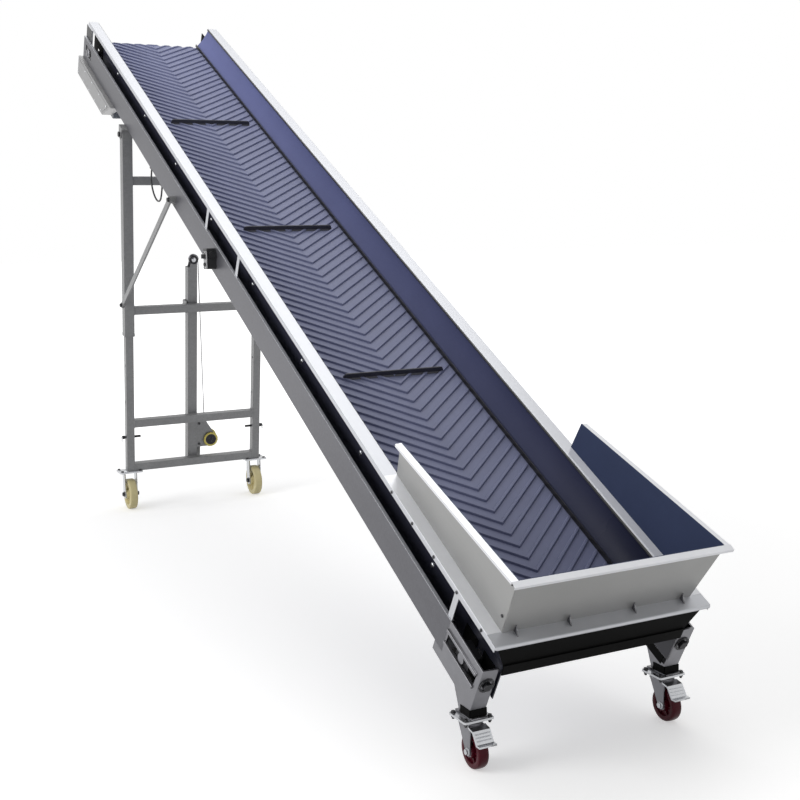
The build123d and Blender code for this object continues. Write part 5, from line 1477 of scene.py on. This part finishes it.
class ConveyorDrive(bpy.types.Operator):
    """Build the gear motor and add the guard's lid, the drum's end shields, the head bearings and bolts"""

    bl_idname = "conveyor.drive"
    bl_label = "Drive"

    guard_edge = 0.003
    cast_edge = 0.0012
    guard_x = -0.372
    lid = [(4.032, -0.2315), (4.700, -0.2315), (4.700, -0.3070), (4.1465, -0.3070)]
    lid_high = (0.0012, 0.0024)
    lid_inset = (0.006, 0.05)
    # Rows of lid screws: n, first and last s
    screw_rows = ((-0.2400, 4.060, 4.688), (-0.2985, 4.155, 4.688))
    screw_count = 5
    screw_out = 0.0022
    # Black sheets over the drum's ends as painted shade: s, s, n and n
    end_shade_x = (0.294, 0.297)
    end_shade_sheets = ((4.500, 4.570, -0.190, -0.052), (4.570, 4.610, -0.136, -0.052), (4.610, 4.690, -0.190, -0.052))
    plate_n = -0.112
    # Motor: s and n of its axle, blocks of its plate
    motor = (4.170, -0.285)
    bed = (
        ((-0.317, -0.085, -0.235), (0.346, 0.085, -0.227)),
        ((-0.317, -0.085, -0.227), (-0.290, 0.085, -0.219)),
        ((0.290, -0.085, -0.227), (0.346, 0.085, -0.219)),
    )
    # Gearbox, its flange and ribs: width, corner radius and ends along the axle
    gearbox = (
        (0.100, 0.016, -0.317, -0.205),
        (0.104, 0.018, -0.205, -0.197),
        (0.108, 0.018, -0.302, -0.298),
        (0.108, 0.018, -0.272, -0.268),
        (0.108, 0.018, -0.242, -0.238),
    )
    gearbox_high = 0.100
    neck = 0.046
    neck_ends = (-0.197, -0.185)
    fins = (0.050, 30, 0.007)
    fin_ends = (-0.185, -0.030)
    fan = ((0.049, -0.032), (0.050, -0.030), (0.050, 0.018), (0.044, 0.030), (0.030, 0.033))
    terminals = ((-0.074, -0.022, -0.150), (-0.044, 0.030, -0.080))
    bearing_x = 0.346
    housing = ((0.0153, 0), (0.0245, 0), (0.0245, 0.0050), (0.0195, 0.0095), (0.0153, 0.0095))
    bearing_bolts = (-0.044, 0.044)
    bearing_bolt = 0.008

    def execute(self, context):
        formed("chain_guard", self.guard_edge)
        # The bearing plates get black plastic in the beam's window as painted shade.
        formed("head_bearings", self.cast_edge, ["black_plastic", "rail_bright"], self.bearing_shade_pick)
        end_shade_sheets = bmesh.new()
        # Black sheets as painted shade in the gap at the drum's ends.
        side_strips(end_shade_sheets, self.end_shade_x, self.end_shade_sheets)
        make_piece("drum_end_shields", end_shade_sheets, "frame", ["panel_rubber"])
        self.guard_lid(context.scene.conveyor_fixings.screw)
        self.gear_motor()
        self.bearings()
        return {"FINISHED"}

    def bearing_shade_pick(self, middle, normal):
        """Dark in the beam's window, bright on the raised head plates."""
        return 1 if on_deck(middle)[2] > self.plate_n else 0

    def guard_lid(self, screw):
        """Lid on the outer face of the chain guard, and its screws."""
        bm = bmesh.new()
        outer = axes(deck(self.guard_x, 0, 0), ALONG, SQUARE, -ACROSS)
        centre_s, centre_n = (sum(axis) / len(self.lid) for axis in zip(*self.lid))
        in_s, in_n = self.lid_inset
        inset = [(s + (centre_s - s) * in_s, n + (centre_n - n) * in_n) for s, n in self.lid]
        edge, face = self.lid_high
        stacked(bm, outer, [(self.lid, 0.0), (self.lid, edge), (inset, face)])
        make_piece("guard_lid", bm, "frame", ["guard_sheet"])
        screws = bmesh.new()
        for k in range(self.screw_count):
            for n, first, last in self.screw_rows:
                s = first + (last - first) * k / (self.screw_count - 1)
                socket_screw(screws, aimed(deck(self.guard_x - self.screw_out, s, n), -ACROSS), screw)
        make_piece("guard_screws", screws, "frame", ["caster_zinc"])

    def gear_motor(self):
        """Gearbox, finned motor and terminal box on their plate."""
        bm = bmesh.new()
        s, n = self.motor
        for low, high in self.bed:
            block(bm, deck_axes(0, s, 0), low, high)
        axle = axes(deck(0, s, n), ALONG, SQUARE, ACROSS)
        for width, corner, low, high in self.gearbox:
            prism(bm, axle, rounded(width, self.gearbox_high, corner), low, high)
        prism(bm, axle, polygon(self.neck, 40), *self.neck_ends)
        prism(bm, axle, gear_outline(*self.fins), *self.fin_ends)
        turned(bm, axle, self.fan, 40)
        block(bm, axle, *self.terminals)
        make_piece("gear_motor_built", bm, "frame", ["motor_paint"], ("gear_motor",), self.cast_edge)

    def bearings(self):
        """Housings and bolts on the head bearing plates."""
        units, bolts = bmesh.new(), bmesh.new()
        for sign in SIGNS:
            x, out = sign * self.bearing_x, ACROSS * sign
            turned(units, aimed(deck(x, HEAD_S, DRUM_N), out), self.housing, 32, ring=True)
            for step in self.bearing_bolts:
                hex_bolt(bolts, aimed(deck(x, HEAD_S + step, DRUM_N), out), self.bearing_bolt)
        make_piece("head_bearing_units", units, "frame", ["drum_steel"])
        make_piece("head_bearing_bolts", bolts, "frame", ["black_bolt"])


class ConveyorStudio(bpy.types.Operator):
    """Set the floor, the light and the camera"""

    bl_idname = "conveyor.studio"
    bl_label = "Studio"

    # Floor, and where its paleness starts and ends to grow
    floor_size = 60.0
    near = 2.0
    far = 6.0
    sensor = 36.0
    # Light panels: setting of their power, size and place
    panels = (("key", 4.0, (-6.5, -0.6, 4.2)), ("top", 5.0, (1.0, 1.5, 7.0)))
    target = Vector((0, 0, 1.0))

    def execute(self, context):
        stage = context.scene.conveyor_stage
        self.floor(context, stage)
        self.light(context, stage)
        self.camera(context, stage)
        context.scene.view_settings.view_transform = "Standard"
        return {"FINISHED"}

    def in_view(self, tree):
        """1 for rays from the camera and from mirror or glass, else 0."""
        path = wire(tree, "ShaderNodeLightPath").outputs
        bounced = calc(tree, "MAXIMUM", path["Is Glossy Ray"], path["Is Transmission Ray"])
        return calc(tree, "MAXIMUM", path["Is Camera Ray"], bounced)

    def floor(self, context, stage):
        """A wide pale floor that fades into the background."""
        bm = bmesh.new()
        bmesh.ops.create_grid(bm, x_segments=2, y_segments=2, size=self.floor_size)
        mesh = bpy.data.meshes.new("studio_floor")
        bm.to_mesh(mesh)
        bm.free()
        material = bpy.data.materials.new("pale floor")
        material.use_nodes = True
        tree = material.node_tree
        tree.nodes.clear()
        tone = (*context.scene.conveyor_colours.floor, 1.0)
        matt = wire(tree, "ShaderNodeBsdfDiffuse", {"Color": tone})
        place = wire(tree, "ShaderNodeTexCoord").outputs["Object"]
        away = wire(tree, "ShaderNodeVectorMath", {0: place}, operation="LENGTH").outputs["Value"]
        reach = {"Value": away, "From Min": self.near, "From Max": self.far}
        reach.update({"To Min": stage.lift, "To Max": stage.far_lift})
        lift = wire(tree, "ShaderNodeMapRange", reach, interpolation_type="SMOOTHSTEP").outputs[0]
        seen = calc(tree, "MULTIPLY", self.in_view(tree), lift)
        pale = wire(tree, "ShaderNodeEmission", {"Strength": seen})
        both = wire(tree, "ShaderNodeAddShader", {0: matt.outputs[0], 1: pale.outputs[0]})
        wire(tree, "ShaderNodeOutputMaterial", {"Surface": both.outputs[0]})
        mesh.materials.append(material)
        floor = bpy.data.objects.new("studio_floor", mesh)
        context.scene.collection.objects.link(floor)

    def light(self, context, stage):
        """Even light from all round, and two panels."""
        world = bpy.data.worlds.new("studio")
        world.use_nodes = True
        context.scene.world = world
        tree = world.node_tree
        tree.nodes.clear()
        glow = spread(tree, self.in_view(tree), stage.fill, 1.0)
        sky = wire(tree, "ShaderNodeBackground", {"Color": (1, 1, 1, 1), "Strength": glow})
        wire(tree, "ShaderNodeOutputWorld", {"Surface": sky.outputs[0]})
        for name, size, place in self.panels:
            lamp = bpy.data.lights.new(f"{name}_panel", "AREA")
            lamp.energy = getattr(stage, name)
            lamp.size = size
            panel = bpy.data.objects.new(f"{name}_panel", lamp)
            panel.matrix_world = aimed(Vector(place), Vector(place) - self.target)
            context.scene.collection.objects.link(panel)

    def camera(self, context, stage):
        """The camera as fitted to the photo."""
        lens = bpy.data.cameras.new("photo_camera")
        lens.lens = stage.lens
        lens.sensor_width = self.sensor
        camera = bpy.data.objects.new("photo_camera", lens)
        yaw, pitch, roll = stage.yaw, stage.pitch, stage.roll
        forward = Vector((sin(yaw) * cos(pitch), cos(yaw) * cos(pitch), -sin(pitch)))
        level = Vector((cos(yaw), -sin(yaw), 0))
        upright = level.cross(forward)
        right = level * cos(roll) + upright * sin(roll)
        camera.matrix_world = axes(Vector(stage.camera), right, right.cross(forward), -forward)
        context.scene.collection.objects.link(camera)
        context.scene.camera = camera


OPERATORS = (
    ConveyorFinishNodes,
    ConveyorStudio,
    ConveyorControl,
    ConveyorFoldSheet,
    ConveyorBeltLoop,
    ConveyorTrough,
    ConveyorHopper,
    ConveyorTail,
    ConveyorFrontCasters,
    ConveyorRearCasters,
    ConveyorLegs,
    ConveyorWinch,
    ConveyorDrive,
)
SETTINGS = {
    "conveyor_colours": ConveyorColours,
    "conveyor_belt": ConveyorBelt,
    "conveyor_fixings": ConveyorFixings,
    "conveyor_stage": ConveyorStage,
}


class ConveyorPanel(bpy.types.Panel):
    """Lists the conveyor's pieces and settings"""

    bl_idname = "VIEW3D_PT_conveyor"
    bl_label = "Belt conveyor"
    bl_space_type = "VIEW_3D"
    bl_region_type = "UI"
    bl_category = "Conveyor"

    def draw(self, context):
        for operator in OPERATORS:
            self.layout.operator(operator.bl_idname)
        for label, group in SETTINGS.items():
            column = self.layout.column(heading=group.__doc__)
            for name in group.__annotations__:
                column.prop(getattr(context.scene, label), name)


def register():
    """Make the settings, operators and panel known to Blender."""
    for group in SETTINGS.values():
        bpy.utils.register_class(group)
    for label, group in SETTINGS.items():
        setattr(bpy.types.Scene, label, PointerProperty(type=group))
    for operator in OPERATORS:
        bpy.utils.register_class(operator)
    bpy.utils.register_class(ConveyorPanel)


def unregister():
    """Take all of it out again, in reverse."""
    bpy.utils.unregister_class(ConveyorPanel)
    for operator in reversed(OPERATORS):
        bpy.utils.unregister_class(operator)
    for label, group in reversed(SETTINGS.items()):
        delattr(bpy.types.Scene, label)
        bpy.utils.unregister_class(group)


def main():
    """Build every piece and the stage, and note the size."""
    register()
    for operator in OPERATORS:
        family, name = operator.bl_idname.split(".")
        getattr(getattr(bpy.ops, family), name)()
    bpy.context.view_layer.update()


if __name__ == "__main__":
    main()
